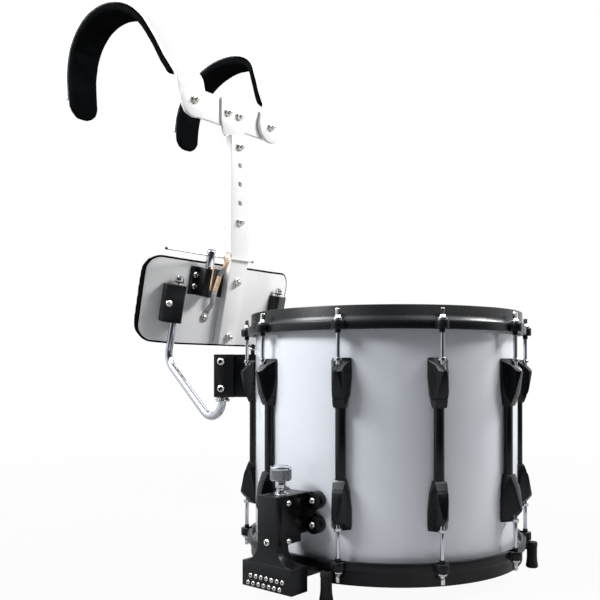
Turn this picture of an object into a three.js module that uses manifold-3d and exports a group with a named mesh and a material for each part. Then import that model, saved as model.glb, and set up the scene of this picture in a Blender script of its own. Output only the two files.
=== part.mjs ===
// A marching snare drum hanging on its shoulder carrier.
// Millimetres, +Z up. The drum's axis is Z and the origin is the middle of the playing surface.
// The carrier is at +Y, so the wearer looks along -Y, and the snare strainer is at -X.
import * as THREE from 'three';
import { mergeVertices } from 'three/addons/utils/BufferGeometryUtils.js';
import Module from 'manifold-3d';

const wasm = await Module();
wasm.setup();

// Driving dimensions. Radii are taken from the drum's axis, heights from the middle of the shell.
const clearance = 0.3;
const overrun = 1;
const weld = 0.0003;
const shell = { radius: 178, depth: 305, wall: 7, bearingEdge: 2.5, sides: 48 };
const head = { film: 0.8, ringWall: 4.2, ringDepth: 10, collar: 3.4 };
const hoop = {
  bandWall: 6, bandDepth: 10.4, rimWall: 3, rimRise: 10, bandDrop: 7, slope: 5.7, pull: 2.3, sides: 48,
};
const rods = {
  count: 10, standOff: 14, radius: 2.5, washer: 5.4, washerRise: 5, key: 3, keyRise: 8, sides: 8,
};
const ear = { radius: 8, sides: 10 };
const lug = {
  top: 100, casing: 58, width: 25, reach: 22.2, railWidth: 12.6, railDepth: 9.9, socketDepth: 12, sides: 10,
};
const foot = {
  drop: 17, cap: 7.8, waist: 6.8, sole: 8.3, capRise: 6, soleRise: 12, standOff: 6.2, shift: 12,
};
const footArm = { width: 8, wall: 3.5 };
const strainer = {
  bodyTop: -59, bodyHeight: 56.5, width: 30, reach: 52.3, slideWall: 8, tongue: 12, tongueReach: 16,
};
const tongueDrop = 17;
const lobe = { radius: 11, thickness: 9, spread: 25, topDrop: 9, bottomDrop: 37.5, sides: 12 };
const screwRowShares = [0.84, 0.55];
const strandBox = {
  width: 77, height: 29.7, depth: 28, lowering: 78, proud: 1.2, flareRise: 21.5, flareDepth: 20,
};
const knob = { radius: 12.75, height: 17, bevel: 2, neck: 7, neckHeight: 15.5, screw: 3, inset: 24 };
const strand = { count: 14, pitch: 4.1, radius: 0.8, sides: 5, offset: -2.05 };
const butt = {
  width: 68, height: 13, thickness: 20, gap: 1.2, postWidth: 30, flangeWidth: 62, flangeHeight: 40, wall: 12,
};
const gate = { width: 66 };
const receptor = {
  spread: 120, reach: 19.7, bottom: 47.5, height: 61, width: 22, innerWall: 19.27, outerWall: 9.5,
};
const neck = { near: 1.8, flange: 34, flangeWall: 6 };
const lockPin = { radius: 2.8, height: 9, ball: 3.8, across: -4, inset: 9.3, sides: 10 };
const buttonScrew = { head: 5, rise: 3, sides: 10 };
const jRod = { radius: 6, tip: 50, low: -9, kneeUp: -92.5, stemEnd: 17, sides: 12, steps: 30 };
const bend = { hook: 24.5, knee: 30 };
const stem = { spread: 113, boreAir: 0.7 };
const collar = { radius: 11, height: 6, gap: 0.6, sides: 16 };
const plate = { width: 318, height: 129, wall: 3, corner: 24, cornerSteps: 4, sag: 19.7 };
const platePlace = { tilt: 13, standOff: 134.9, centre: 192.6 };
const pad = { margin: 1, wall: 9, sideDraw: 3 };
const clamp = {
  width: 32, depth: 18, height: 58, chamfer: 2.5, axisDepth: 10, rodShift: 5, lift: -3, screwShift: 9.5,
};
const topNut = { spacer: 4.5, spacerRise: 4, washer: 8, washerRise: 2, nut: 6.8, nutRise: 8.5, sides: 6 };
const spine = { width: 39, depth: 14, top: 466.5, bendZ: 263.5, lowEnd: -62 };
const pin = { hole: 7, pitch: 30.8, count: 5, inset: 15 };
const plateBolts = { upper: 42.6, lower: -48.5 };
const tBar = {
  wall: 4, stemWidth: 36, stemLength: 149, headWidth: 54, headGap: 3.5, rise: 63.5, boltSpread: 13,
};
const yoke = { wall: 5, width: 206, height: 45, rise: 41, corner: 12, pivotSpread: 87 };
const strap = {
  width: 54, wall: 6, air: 0.9, splay: 47, reach: 261, rise: 167, stations: 28, lastStation: 26,
};
const shoulderPad = { width: 57, wall: 13, air: 1.4, firstStation: 3, endLength: 26 };
const bolt = { head: 6, rise: 5, sides: 6 };
const screw = { head: 3.6, rise: 2.2, sides: 8 };
const smallScrew = { head: 1.9, rise: 1.2, sides: 6 };
const holder = {
  left: -89, right: -20.5, top: 58, bottom: 14, wall: 3, saddle: 10.5, slot: 4, sides: 16, screwInset: 9,
};
const key = {
  across: -66.5, out: 16.5, head: 7, headBottom: 60, top: 88, shaft: 4.5, bottom: 20, sides: 14,
};
const tommy = { length: 184, radius: 2, sides: 8, up: 78.8, shift: -65 };
const latch = { width: 9, wall: 1.4, eyelet: 7.5, ring: 8.5, hole: 4.6, sides: 14, left: -47, low: -21 };
const latchReach = { lean: 11.6, length: 97, standOff: 20 };

// Places worked out from the driving dimensions.
const half = shell.depth / 2;
const rodCircle = shell.radius + rods.standOff;
const hangDepth = shell.radius + receptor.reach;
const plateFront = shell.radius + platePlace.standOff;
const yokeCentre = spine.top + yoke.rise;
const playing = half + head.film;
const shellSeat = shell.radius + clearance;
const headOuter = shellSeat + head.ringWall;
const ringTop = playing - head.collar;
const bandInner = headOuter + clearance;
const bandOuter = bandInner + hoop.bandWall;
const rimInner = headOuter - hoop.rimWall / 2;
const rimOuter = rimInner + hoop.rimWall;
const bandTop = half - hoop.bandDrop;
const bandBottom = bandTop - hoop.bandDepth;
const step = (2 * Math.PI) / rods.count;
const material = {
  shell: finish(0xe9ecf4, 0.18, 0),
  film: finish(0xf2f1ec, 0.5, 0),
  black: finish(0x121316, 0.35, 0.3),
  chrome: finish(0xd9dadd, 0.16, 1),
  rubber: finish(0x0d0d0e, 0.8, 0),
  white: finish(0xf1f1f0, 0.3, 0),
  foam: finish(0x16181b, 0.95, 0),
  steel: finish(0xb9b2a6, 0.3, 1),
};

function finish(color, roughness, metalness) {
  return new THREE.MeshStandardMaterial({ color, roughness, metalness });
}

// Solids: a closed geometry becomes a manifold and back.
function welded(geometry) {
  const bare = geometry.index ? geometry.toNonIndexed() : geometry.clone();
  bare.deleteAttribute('normal');
  bare.deleteAttribute('uv');
  return mergeVertices(bare, weld);
}

function solidOf(geometry) {
  const merged = welded(geometry);
  const vertProperties = new Float32Array(merged.attributes.position.array);
  const triVerts = new Uint32Array(merged.index.array);
  return new wasm.Manifold(new wasm.Mesh({ numProp: 3, vertProperties, triVerts }));
}

function geometryOf(solid) {
  const mesh = solid.getMesh();
  const geometry = new THREE.BufferGeometry();
  geometry.setAttribute('position', new THREE.BufferAttribute(new Float32Array(mesh.vertProperties), 3));
  geometry.setIndex(new THREE.BufferAttribute(new Uint32Array(mesh.triVerts), 1));
  return geometry;
}

function join(...pieces) {
  return geometryOf(pieces.map(solidOf).reduce((whole, piece) => whole.add(piece)));
}

function cut(body, ...tools) {
  return geometryOf(tools.map(solidOf).reduce((rest, tool) => rest.subtract(tool), solidOf(body)));
}

function common(...pieces) {
  return geometryOf(pieces.map(solidOf).reduce((whole, piece) => whole.intersect(piece)));
}

// Basic shapes. A turned shape stands on Z, a slab is centred on its own plane.
function turned(points, sides) {
  const profile = points.map(([radius, height]) => new THREE.Vector2(radius, height));
  const ring = profile[0].equals(profile[profile.length - 1]) ? profile.slice(1) : profile;
  if (THREE.ShapeUtils.area(ring) < 0) profile.reverse();
  return new THREE.LatheGeometry(profile, sides).rotateX(Math.PI / 2);
}

function cylinder(radius, height, sides) {
  return new THREE.CylinderGeometry(radius, radius, height, sides).rotateX(Math.PI / 2);
}

function box(width, depth, height) {
  return new THREE.BoxGeometry(width, depth, height);
}

function slab(points, thickness, holes = []) {
  const shape = new THREE.Shape(points.map(([x, y]) => new THREE.Vector2(x, y)));
  shape.holes = holes.map((hole) => new THREE.Path(hole.map(([x, y]) => new THREE.Vector2(x, y))));
  const options = { depth: thickness, bevelEnabled: false, curveSegments: 1 };
  return new THREE.ExtrudeGeometry(shape, options).translate(0, 0, -thickness / 2);
}

function along(curve, section, steps) {
  const shape = new THREE.Shape(section.map(([x, y]) => new THREE.Vector2(x, y)));
  return new THREE.ExtrudeGeometry(shape, { steps, extrudePath: curve, bevelEnabled: false });
}

function polygon(radius, sides) {
  const turn = (2 * Math.PI) / sides;
  const corner = (i) => [radius * Math.cos(i * turn), radius * Math.sin(i * turn)];
  return Array.from({ length: sides }, (_, i) => corner(i));
}

function roundedRectangle(width, height, radius, steps) {
  const points = [];
  const corners = [[1, 1, 0], [-1, 1, 1], [-1, -1, 2], [1, -1, 3]];
  for (const [sx, sy, quarter] of corners) {
    for (let i = 0; i <= steps; i += 1) {
      const angle = (quarter + i / steps) * (Math.PI / 2);
      const x = sx * (width / 2 - radius) + radius * Math.cos(angle);
      points.push([x, sy * (height / 2 - radius) + radius * Math.sin(angle)]);
    }
  }
  return points;
}

// Turns from a shape's own plane: sections across the drum, faces towards -Y, cuts along X.
function radialPlane(geometry) {
  const basis = new THREE.Matrix4().makeBasis(
    new THREE.Vector3(0, -1, 0), new THREE.Vector3(0, 0, 1), new THREE.Vector3(-1, 0, 0));
  return geometry.applyMatrix4(basis);
}

function frontPlane(geometry) {
  return geometry.rotateX(Math.PI / 2);
}

function sidePlane(geometry) {
  const basis = new THREE.Matrix4().makeBasis(
    new THREE.Vector3(0, 1, 0), new THREE.Vector3(0, 0, 1), new THREE.Vector3(1, 0, 0));
  return geometry.applyMatrix4(basis);
}

const domeShares = [0.55, 0.45];

// A domed head that stands on the plane z = 0, and the same turned to face -Y or sideways.
function dome(size) {
  const [crownShare, shoulderShare] = domeShares;
  return turned([
    [0, -clearance], [size.head, -clearance], [size.head, size.rise * shoulderShare],
    [size.head * crownShare, size.rise], [0, size.rise],
  ], size.sides);
}

function forwardDome(size, x, y, z) {
  return dome(size).rotateX(Math.PI / 2).translate(x, y, z);
}

function sideDome(size, sign, x, y, z) {
  return dome(size).rotateY((sign * Math.PI) / 2).translate(x, y, z);
}

const drum = new THREE.Group();
drum.position.z = -playing;

function add(name, geometry, look, angle = 0) {
  const mesh = new THREE.Mesh(welded(geometry), look);
  mesh.name = name;
  mesh.rotation.z = angle;
  drum.add(mesh);
  return mesh;
}

function numbered(stem, index) {
  return `${stem}_${String(index + 1).padStart(2, '0')}`;
}

// Shell with its two bearing edges chamfered to the inside.
function makeShell() {
  const inner = shell.radius - shell.wall;
  const edge = shell.bearingEdge;
  const points = [
    [inner, -half + edge * 2], [shell.radius - edge, -half], [shell.radius, -half + edge],
    [shell.radius, half - edge], [shell.radius - edge, half], [inner, half - edge * 2],
    [inner, -half + edge * 2],
  ];
  add('shell', turned(points, shell.sides), material.shell);
}

// A head: the film, its collar over the bearing edge and the flesh ring, pulled down by its hoop.
function headGeometry(pull) {
  const edge = shell.radius - shell.bearingEdge;
  const collar = shellSeat + head.film;
  const ringBottom = playing - head.ringDepth - pull;
  return turned([
    [0, half], [edge, half], [shellSeat, half - shell.bearingEdge],
    [shellSeat, ringBottom], [headOuter, ringBottom], [headOuter, ringTop - pull],
    [collar, ringTop - pull], [collar, half - shell.bearingEdge + clearance], [edge, playing], [0, playing],
  ], shell.sides);
}

// A hoop: a wide band with ears around the flesh ring, and a narrow rim above it.
function hoopProfile() {
  return [
    [bandInner, bandBottom], [bandOuter, bandBottom], [bandOuter, bandTop],
    [rodCircle - rods.washer - clearance, bandTop],
    [rimOuter, bandTop + hoop.slope], [rimOuter, playing + hoop.rimRise],
    [rimInner, playing + hoop.rimRise], [rimInner, ringTop + clearance],
    [bandInner, ringTop + clearance], [bandInner, bandBottom],
  ];
}

function earGeometry() {
  const middle = (bandTop + bandBottom) / 2;
  const reach = rodCircle - bandInner - overrun;
  const block = box(ear.radius * 2, reach, hoop.bandDepth);
  block.translate(0, -(rodCircle - reach / 2), middle);
  const boss = cylinder(ear.radius, hoop.bandDepth, ear.sides).translate(0, -rodCircle, middle);
  return join(block, boss);
}

function rodHole(bottom, top) {
  const radius = (rods.radius + clearance) / Math.cos(Math.PI / rods.sides);
  return cylinder(radius, top - bottom, rods.sides).translate(0, -rodCircle, (top + bottom) / 2);
}

function hoopGeometry() {
  let body = turned(hoopProfile(), hoop.sides);
  for (let i = 0; i < rods.count; i += 1) body = join(body, earGeometry().rotateZ(i * step));
  for (let i = 0; i < rods.count; i += 1) {
    body = cut(body, rodHole(bandBottom - overrun, bandTop + overrun).rotateZ(i * step));
  }
  return body;
}

// The lower hoop's rim is open where the strands pass under it.
function gateCut(side) {
  const inner = shell.radius - shell.wall;
  const outer = bandOuter + overrun;
  const top = -(ringTop + clearance);
  const bottom = -(playing + hoop.rimRise + overrun);
  const window = box(outer - inner, gate.width, top - bottom);
  return window.translate((side * (outer + inner)) / 2, 0, (top + bottom) / 2);
}

function makeHeadsAndHoops() {
  add('batter_head', headGeometry(hoop.pull), material.film);
  add('snare_head', headGeometry(0).rotateX(Math.PI), material.film);
  add('batter_hoop', hoopGeometry().translate(0, 0, -hoop.pull), material.black);
  add('snare_hoop', cut(hoopGeometry().rotateX(Math.PI), gateCut(-1), gateCut(1)), material.black);
}

// A tension rod: key head, washer seated on the ear, and the shaft that screws into the lug.
function rodGeometry(pull) {
  const seat = bandTop + clearance - pull;
  const coneShare = 0.55;
  const points = [
    [0, lug.top - lug.socketDepth], [rods.radius, lug.top - lug.socketDepth], [rods.radius, seat],
    [rods.washer, seat], [rods.key, seat + rods.washerRise * coneShare],
    [rods.key, seat + rods.washerRise + rods.keyRise], [0, seat + rods.washerRise + rods.keyRise],
  ];
  return turned(points, rods.sides).translate(0, -rodCircle, 0);
}

function makeRods() {
  for (let i = 0; i < rods.count; i += 1) {
    add(numbered('batter_rod', i), rodGeometry(hoop.pull), material.chrome, i * step);
    const lower = rodGeometry(0).rotateY(Math.PI);
    add(numbered('snare_rod', i), lower, material.chrome, i * step);
  }
}

// One lug casing: a keel cut from its side, front and plan outlines, with the rod's socket.
const casingSideShares = [
  [0, 0], [0.35, 0], [0.97, 0.095], [1, 0.14], [1, 0.3], [0.76, 0.73], [0.47, 1], [0, 1],
];
const casingFrontShares = [[0.46, 0], [0.5, 0.08], [0.5, 0.4], [0.42, 0.75], [0.27, 1]];
const casingPlanShares = [[0.5, 0], [0.5, 0.1], [0.29, 0.52], [0.25, 0.8], [0.1, 1]];

function mirrored(points) {
  return [...points, ...points.map(([x, y]) => [-x, y]).reverse()];
}

function casingGeometry() {
  const wide = lug.width * 2;
  const side = casingSideShares.map(([r, z]) => [shellSeat + r * lug.reach, lug.top - z * lug.casing]);
  const front = mirrored(casingFrontShares).map(([x, z]) => [x * lug.width, lug.top - z * lug.casing]);
  const plan = mirrored(casingPlanShares).map(([x, r]) => [x * lug.width, -(shellSeat + r * lug.reach)]);
  const keel = common(
    radialPlane(slab(side, wide)),
    frontPlane(slab(front, wide)).translate(0, -(shellSeat + lug.reach / 2), 0),
    slab(plan, lug.casing * 2).translate(0, 0, lug.top),
  );
  return cut(keel, rodHole(lug.top - lug.socketDepth - clearance, lug.top + overrun));
}

function makeLugs() {
  const rail = cylinder(lug.railWidth / 2, 2 * (lug.top - lug.casing) + 2 * overrun, lug.sides);
  rail.rotateZ(Math.PI / lug.sides).scale(1, lug.railDepth / lug.railWidth, 1);
  rail.translate(0, -(shellSeat + lug.railDepth / 2), 0);
  const whole = join(casingGeometry(), rail, casingGeometry().rotateY(Math.PI));
  for (let i = 0; i < rods.count; i += 1) add(numbered('lug', i), whole, material.black, i * step);
}

// Three feet, each on an arm under the lower hoop's band beside a rod.
function makeFeet() {
  const places = [-2, 1, 5];
  const seat = -(bandTop + clearance);
  const sole = -(playing + hoop.rimRise + foot.drop);
  const centre = rodCircle + foot.standOff;
  const profile = [
    [0, seat], [foot.cap, seat], [foot.cap, seat - foot.capRise], [foot.waist, seat - foot.capRise],
    [foot.waist, sole + foot.soleRise], [foot.sole, sole + overrun], [foot.sole - overrun, sole], [0, sole],
  ];
  const inner = rodCircle - rods.washer;
  const arm = box(footArm.width, centre - inner, footArm.wall);
  arm.translate(0, -(centre + inner) / 2, seat - footArm.wall / 2);
  const stand = turned(profile, ear.sides).translate(0, -centre, 0);
  const whole = join(stand, arm).translate(-foot.shift, 0, 0);
  places.forEach((place, i) => add(numbered('foot', i), whole, material.rubber, place * step));
}

// Strainer, built facing -Y and turned to -X.
const strainerAngle = -Math.PI / 2;
const bodyBottom = strainer.bodyTop - strainer.bodyHeight;
const bodyMiddle = (strainer.bodyTop + bodyBottom) / 2;
const slideFront = shellSeat + strainer.reach + strainer.slideWall;
const slideBack = slideFront - strainer.slideWall;
const tongueBack = slideBack - strainer.tongueReach;
const boxTop = strainer.bodyTop - strandBox.lowering;
const boxBottom = boxTop - strandBox.height;
const boxFront = slideFront + strandBox.proud;
const boxBack = boxFront - strandBox.depth;

function radialBox(width, inner, outer, bottom, top) {
  return box(width, outer - inner, top - bottom).translate(0, -(inner + outer) / 2, (top + bottom) / 2);
}

function shellCutter() {
  return cylinder(shellSeat, shell.depth, shell.sides * 2);
}

function makeStrainerBase() {
  const body = radialBox(strainer.width, shell.radius, slideBack - clearance, bodyBottom, strainer.bodyTop);
  const lobes = [];
  for (const side of [-1, 1]) {
    for (const drop of [lobe.topDrop, lobe.bottomDrop]) {
      const disc = cylinder(lobe.radius, lobe.thickness * 2, lobe.sides).rotateX(Math.PI / 2);
      lobes.push(disc.translate(side * lobe.spread, -shellSeat, strainer.bodyTop - drop));
    }
  }
  const webTop = strainer.bodyTop - lobe.topDrop + lobe.radius / 2;
  const webBottom = strainer.bodyTop - lobe.bottomDrop - lobe.radius / 2;
  const web = radialBox(lobe.spread * 2, shell.radius, shellSeat + lobe.thickness, webBottom, webTop);
  const groove = radialBox(
    strainer.tongue + 2 * clearance, tongueBack - clearance, slideFront,
    bodyBottom - overrun, strainer.bodyTop - tongueDrop + strainer.slideWall);
  const screwHole = cylinder(knob.screw + 2 * clearance, strainer.bodyHeight, rods.sides);
  screwHole.translate(0, -(slideFront - knob.inset), strainer.bodyTop);
  const whole = join(body, web, ...lobes);
  const heads = [];
  for (const side of [-1, 1]) {
    for (const drop of [lobe.topDrop, lobe.bottomDrop]) {
      const y = -(shellSeat + lobe.thickness);
      heads.push(forwardDome(screw, side * lobe.spread, y, strainer.bodyTop - drop));
    }
    const x = (side * strainer.width) / 2;
    heads.push(sideDome(screw, side, x, -(tongueBack + screw.head), strainer.bodyTop - lobe.topDrop));
    heads.push(sideDome(screw, side, x, -(tongueBack + screw.head), bodyBottom + screw.head));
  }
  const mount = join(cut(whole, shellCutter(), groove, screwHole), ...heads);
  add('strainer_base', mount, material.black, strainerAngle);
}

const flareShares = [[0.39, 0], [0.42, 0.3], [0.55, 0.62], [0.78, 0.86], [1, 1]];

function flareOutline() {
  const wide = strandBox.width / 2;
  const right = flareShares.map(([x, z]) => [x * wide, bodyBottom - z * strandBox.flareRise]);
  return mirrored(right);
}

function strandX(index) {
  return (index - (strand.count - 1) / 2) * strand.pitch + strand.offset;
}

function makeStrainerSlide() {
  const front = radialBox(strainer.width, slideBack, slideFront, bodyBottom - overrun, strainer.bodyTop);
  const tongueTop = strainer.bodyTop - tongueDrop;
  const tongue = radialBox(strainer.tongue, tongueBack, slideBack + overrun, bodyBottom, tongueTop);
  const flare = frontPlane(slab(flareOutline(), strandBox.flareDepth));
  flare.translate(0, -(slideFront - strandBox.flareDepth / 2), 0);
  const behind = radialBox(strandBox.width, tongueBack, slideBack, bodyBottom, strainer.bodyTop);
  const lowFlare = cut(flare, behind);
  const chest = radialBox(strandBox.width, boxBack, boxFront, boxBottom, boxTop);
  const heads = [];
  for (let i = 0; i < strand.count; i += 1) {
    const drop = screwRowShares[i % 2] * strandBox.height;
    heads.push(forwardDome(smallScrew, strandX(i), -boxFront, boxTop - drop));
  }
  heads.push(forwardDome(screw, 0, -slideFront, bodyBottom + screw.head));
  const bore = cylinder(knob.screw + clearance, strainer.bodyHeight, rods.sides);
  bore.translate(0, -(slideFront - knob.inset), bodyMiddle + strainer.slideWall);
  const whole = cut(join(front, tongue, lowFlare, chest), bore);
  add('strainer_slide', join(whole, ...heads), material.black, strainerAngle);
}

function makeStrainerKnob() {
  const bottom = strainer.bodyTop + clearance;
  const top = bottom + knob.neckHeight + knob.height;
  const profile = [
    [0, bodyMiddle], [knob.screw, bodyMiddle], [knob.screw, bottom], [knob.neck, bottom],
    [knob.neck, bottom + knob.neckHeight], [knob.radius, bottom + knob.neckHeight],
    [knob.radius, top - knob.bevel], [knob.radius - knob.bevel, top], [0, top],
  ];
  const turnedKnob = turned(profile, 2 * ear.sides).translate(0, -(slideFront - knob.inset), 0);
  add('strainer_knob', turnedKnob, material.chrome, strainerAngle);
}

// Fourteen taut strands under the lower head, held at the far side by the butt end.
function makeStrands() {
  const level = -(playing + clearance + strand.radius);
  const inner = bandOuter + butt.gap;
  const outer = inner + butt.thickness;
  const start = -(boxBack - clearance);
  const end = inner + butt.thickness / 2;
  const cables = [];
  for (let i = 0; i < strand.count; i += 1) {
    const cable = cylinder(strand.radius, end - start, strand.sides).rotateY(Math.PI / 2);
    cables.push(cable.translate((start + end) / 2, -strandX(i), level));
  }
  const blockTop = level + butt.height / 2;
  const flangeTop = bodyBottom + butt.flangeHeight / 2;
  const flangeBottom = -bandBottom + butt.gap;
  const block = radialBox(butt.width, inner, outer, level - butt.height / 2, blockTop);
  const post = radialBox(butt.postWidth, inner, inner + butt.wall, level, flangeTop);
  const flangeFace = inner + butt.wall / 2;
  const flange = radialBox(butt.flangeWidth, shell.radius - butt.wall, flangeFace, flangeBottom, flangeTop);
  const bracket = cut(join(block, post, flange), shellCutter());
  const heads = [-1, 1].map((side) => forwardDome(
    screw, (side * (butt.flangeWidth + butt.postWidth)) / 4, -flangeFace, (flangeTop + flangeBottom) / 2));
  const whole = join(join(bracket, ...heads).rotateZ(Math.PI / 2), ...cables);
  add('snare_strands', whole, material.steel);
}

// Where the carrier's rods meet the shell, seen from the drum's axis.
const hangRadius = Math.hypot(receptor.spread, hangDepth);
const receptorInner = hangRadius - receptor.innerWall;
const hangAngle = Math.PI - Math.atan2(receptor.spread, hangDepth);
const receptorTop = receptor.bottom + receptor.height;
const receptorScrewShares = [0.2, 0.83];

function spanBox(from, to, inner, outer, bottom, top) {
  const slice = box(Math.abs(to - from), outer - inner, top - bottom);
  return slice.translate((from + to) / 2, -(inner + outer) / 2, (top + bottom) / 2);
}

function rodBore(bottom, top) {
  const radius = (jRod.radius + stem.boreAir) / Math.cos(Math.PI / jRod.sides);
  return cylinder(radius, top - bottom, jRod.sides).translate(0, 0, (top + bottom) / 2);
}

// A receptor, built facing -Y: block with the rod's bore, neck to the shell, flange and lock pin.
function receptorGeometry(lugSide) {
  const far = (-lugSide * receptor.width) / 2;
  const outer = hangRadius + receptor.outerWall;
  const block = spanBox(far, -far, receptorInner, outer, receptor.bottom, receptorTop);
  const span = [receptor.bottom, receptorTop];
  const web = spanBox(far, lugSide * neck.near, shell.radius, receptorInner + overrun, ...span);
  const foldOuter = shellSeat + neck.flangeWall;
  const fold = spanBox(far, -lugSide * neck.flange, shell.radius - butt.wall, foldOuter, ...span);
  const bore = rodBore(receptor.bottom - overrun, receptor.bottom + jRod.tip + overrun);
  bore.translate(0, -hangRadius, 0);
  const body = cut(join(block, web, fold), shellCutter(), bore);
  const pinY = -(shellSeat + lockPin.inset);
  const pinX = lugSide * lockPin.across;
  const post = cylinder(lockPin.radius, lockPin.height * 2, lockPin.sides).translate(pinX, pinY, receptorTop);
  const ball = new THREE.SphereGeometry(lockPin.ball, lockPin.sides, lockPin.sides / 2).rotateX(Math.PI / 2);
  ball.translate(pinX, pinY, receptorTop + lockPin.height + lockPin.ball / 2);
  const screwY = -(hangRadius - overrun);
  const heads = receptorScrewShares.map((share) => sideDome(
    buttonScrew, lugSide, -far, screwY, receptor.bottom + share * receptor.height));
  return join(body, post, ball, ...heads);
}

// The belly plate's own directions: across, up along its tilt, and out towards the drum.
const tilt = THREE.MathUtils.degToRad(platePlace.tilt);
const across = new THREE.Vector3(1, 0, 0);
const up = new THREE.Vector3(0, -Math.sin(tilt), Math.cos(tilt));
const out = new THREE.Vector3().crossVectors(across, up);
const plateFrame = new THREE.Matrix4().makeBasis(across, up, out);
plateFrame.setPosition(0, plateFront, platePlace.centre);

function onPlate(geometry) {
  return geometry.applyMatrix4(plateFrame);
}

function platePoint(x, rise, reach) {
  return new THREE.Vector3(x, rise, reach).applyMatrix4(plateFrame);
}

// Shares of the half width and of the sag: the plate is flat in the middle and its wings bend back.
const wingShares = [[0, 0], [0.55, 0], [0.62, 0.06], [0.67, 0.15], [1, 1]];
const halfPlate = plate.width / 2;
const [wingStart, wingEnd] = wingShares.slice(-2).map(([x, drop]) => [x * halfPlate, drop * plate.sag]);
const wingSlope = Math.atan2(wingEnd[1] - wingStart[1], wingEnd[0] - wingStart[0]);
const stemOut = (clamp.axisDepth + clearance) / Math.cos(wingSlope)
  - (wingStart[1] + (stem.spread - wingStart[0]) * Math.tan(wingSlope));

// A path of straight runs joined by round bends.
class Bend extends THREE.Curve {
  constructor(start, corner, end) {
    super();
    const inward = corner.clone().sub(start).normalize();
    const onward = end.clone().sub(corner).normalize();
    this.turn = inward.angleTo(onward);
    this.axis = inward.clone().cross(onward).normalize();
    const radius = corner.distanceTo(start) / Math.tan(this.turn / 2);
    this.centre = start.clone().addScaledVector(this.axis.clone().cross(inward), radius);
    this.spoke = start.clone().sub(this.centre);
  }

  getPoint(share, target = new THREE.Vector3()) {
    return target.copy(this.spoke).applyAxisAngle(this.axis, this.turn * share).add(this.centre);
  }
}

function bentPath(corners, radii) {
  const path = new THREE.CurvePath();
  let last = corners[0];
  radii.forEach((radius, i) => {
    const corner = corners[i + 1];
    const back = last.clone().sub(corner).normalize();
    const onward = corners[i + 2].clone().sub(corner).normalize();
    const reach = radius / Math.tan(back.angleTo(onward) / 2);
    const start = corner.clone().addScaledVector(back, reach);
    const end = corner.clone().addScaledVector(onward, reach);
    path.add(new THREE.LineCurve3(last, start));
    path.add(new Bend(start, corner, end));
    last = end;
  });
  path.add(new THREE.LineCurve3(last, corners[corners.length - 1]));
  return path;
}

function jRodGeometry(side) {
  const x = side * receptor.spread;
  const stemX = side * stem.spread;
  const corners = [
    new THREE.Vector3(x, hangDepth, receptor.bottom + jRod.tip),
    new THREE.Vector3(x, hangDepth, jRod.low),
    platePoint(stemX, jRod.kneeUp, stemOut),
    platePoint(stemX, jRod.stemEnd, stemOut),
  ];
  const tube = along(bentPath(corners, [bend.hook, bend.knee]), polygon(jRod.radius, jRod.sides), jRod.steps);
  const stop = cylinder(collar.radius, collar.height, collar.sides);
  stop.translate(x, hangDepth, receptor.bottom - collar.gap - collar.height / 2);
  return join(tube, stop);
}

// A clamp block, built about the rod: X across the plate, Y up it, Z out, then turned to its wing.
function clampGeometry(side) {
  const wide = clamp.width / 2;
  const front = clamp.depth - clamp.axisDepth;
  const outline = [
    [-wide, -clamp.axisDepth], [wide, -clamp.axisDepth], [wide, front - clamp.chamfer],
    [wide - clamp.chamfer, front], [clamp.chamfer - wide, front], [-wide, front - clamp.chamfer],
  ].map(([x, z]) => [x + side * clamp.rodShift, z]);
  const block = frontPlane(slab(outline, clamp.height)).translate(0, clamp.lift, 0);
  const bottom = clamp.lift - clamp.height / 2;
  const bore = rodBore(bottom - overrun, jRod.stemEnd + overrun).rotateX(-Math.PI / 2);
  const seat = clamp.lift + clamp.height / 2;
  const washerSeat = seat + topNut.spacerRise;
  const nutSeat = washerSeat + topNut.washerRise;
  const spacer = standing(topNut.spacer, seat - overrun, washerSeat, jRod.sides);
  const washer = standing(topNut.washer, washerSeat, nutSeat, jRod.sides);
  const nut = standing(topNut.nut, nutSeat, nutSeat + topNut.nutRise, topNut.sides);
  const head = dome(buttonScrew).translate(side * (clamp.rodShift + clamp.screwShift), clamp.lift, front);
  return onPlate(join(cut(block, bore), spacer, washer, nut, head)
    .rotateY(side * wingSlope).translate(side * stem.spread, 0, stemOut));
}

function standing(radius, bottom, top, sides) {
  return cylinder(radius, top - bottom, sides).rotateX(-Math.PI / 2).translate(0, (bottom + top) / 2, 0);
}

// The plan of the plate's front, from the left wing to the right one.
function wingPlan() {
  const right = wingShares.map(([x, drop]) => [x * halfPlate, -drop * plate.sag]);
  return [...right.slice(1).map(([x, z]) => [-x, z]).reverse(), ...right.slice(1)];
}

function plateGeometry() {
  const front = wingPlan();
  const back = front.map(([x, z]) => [x, z - plate.wall]).reverse();
  const band = frontPlane(slab([...front, ...back], plate.height + 2 * overrun));
  const face = roundedRectangle(plate.width, plate.height, plate.corner, plate.cornerSteps);
  return onPlate(common(band, slab(face, plate.width)));
}

// A closed skin over a row of rings that all have the same number of points.
function loft(rings) {
  const count = rings[0].length;
  const total = (ring) => ring.reduce((sum, point) => sum.add(point), new THREE.Vector3());
  const middle = (ring) => total(ring).divideScalar(count);
  const points = [...rings.flat(), middle(rings[0]), middle(rings[rings.length - 1])];
  const faces = [];
  const first = rings.length * count;
  const lastRing = (rings.length - 1) * count;
  for (let j = 0; j < count; j += 1) {
    const next = (j + 1) % count;
    for (let i = 0; i < rings.length - 1; i += 1) {
      const [a, b] = [i * count + j, i * count + next];
      faces.push(a, b, b + count, a, b + count, a + count);
    }
    faces.push(first, next, j, first + 1, lastRing + j, lastRing + next);
  }
  const geometry = new THREE.BufferGeometry().setFromPoints(points);
  geometry.setIndex(faces);
  return solidSide(geometry);
}

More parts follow.
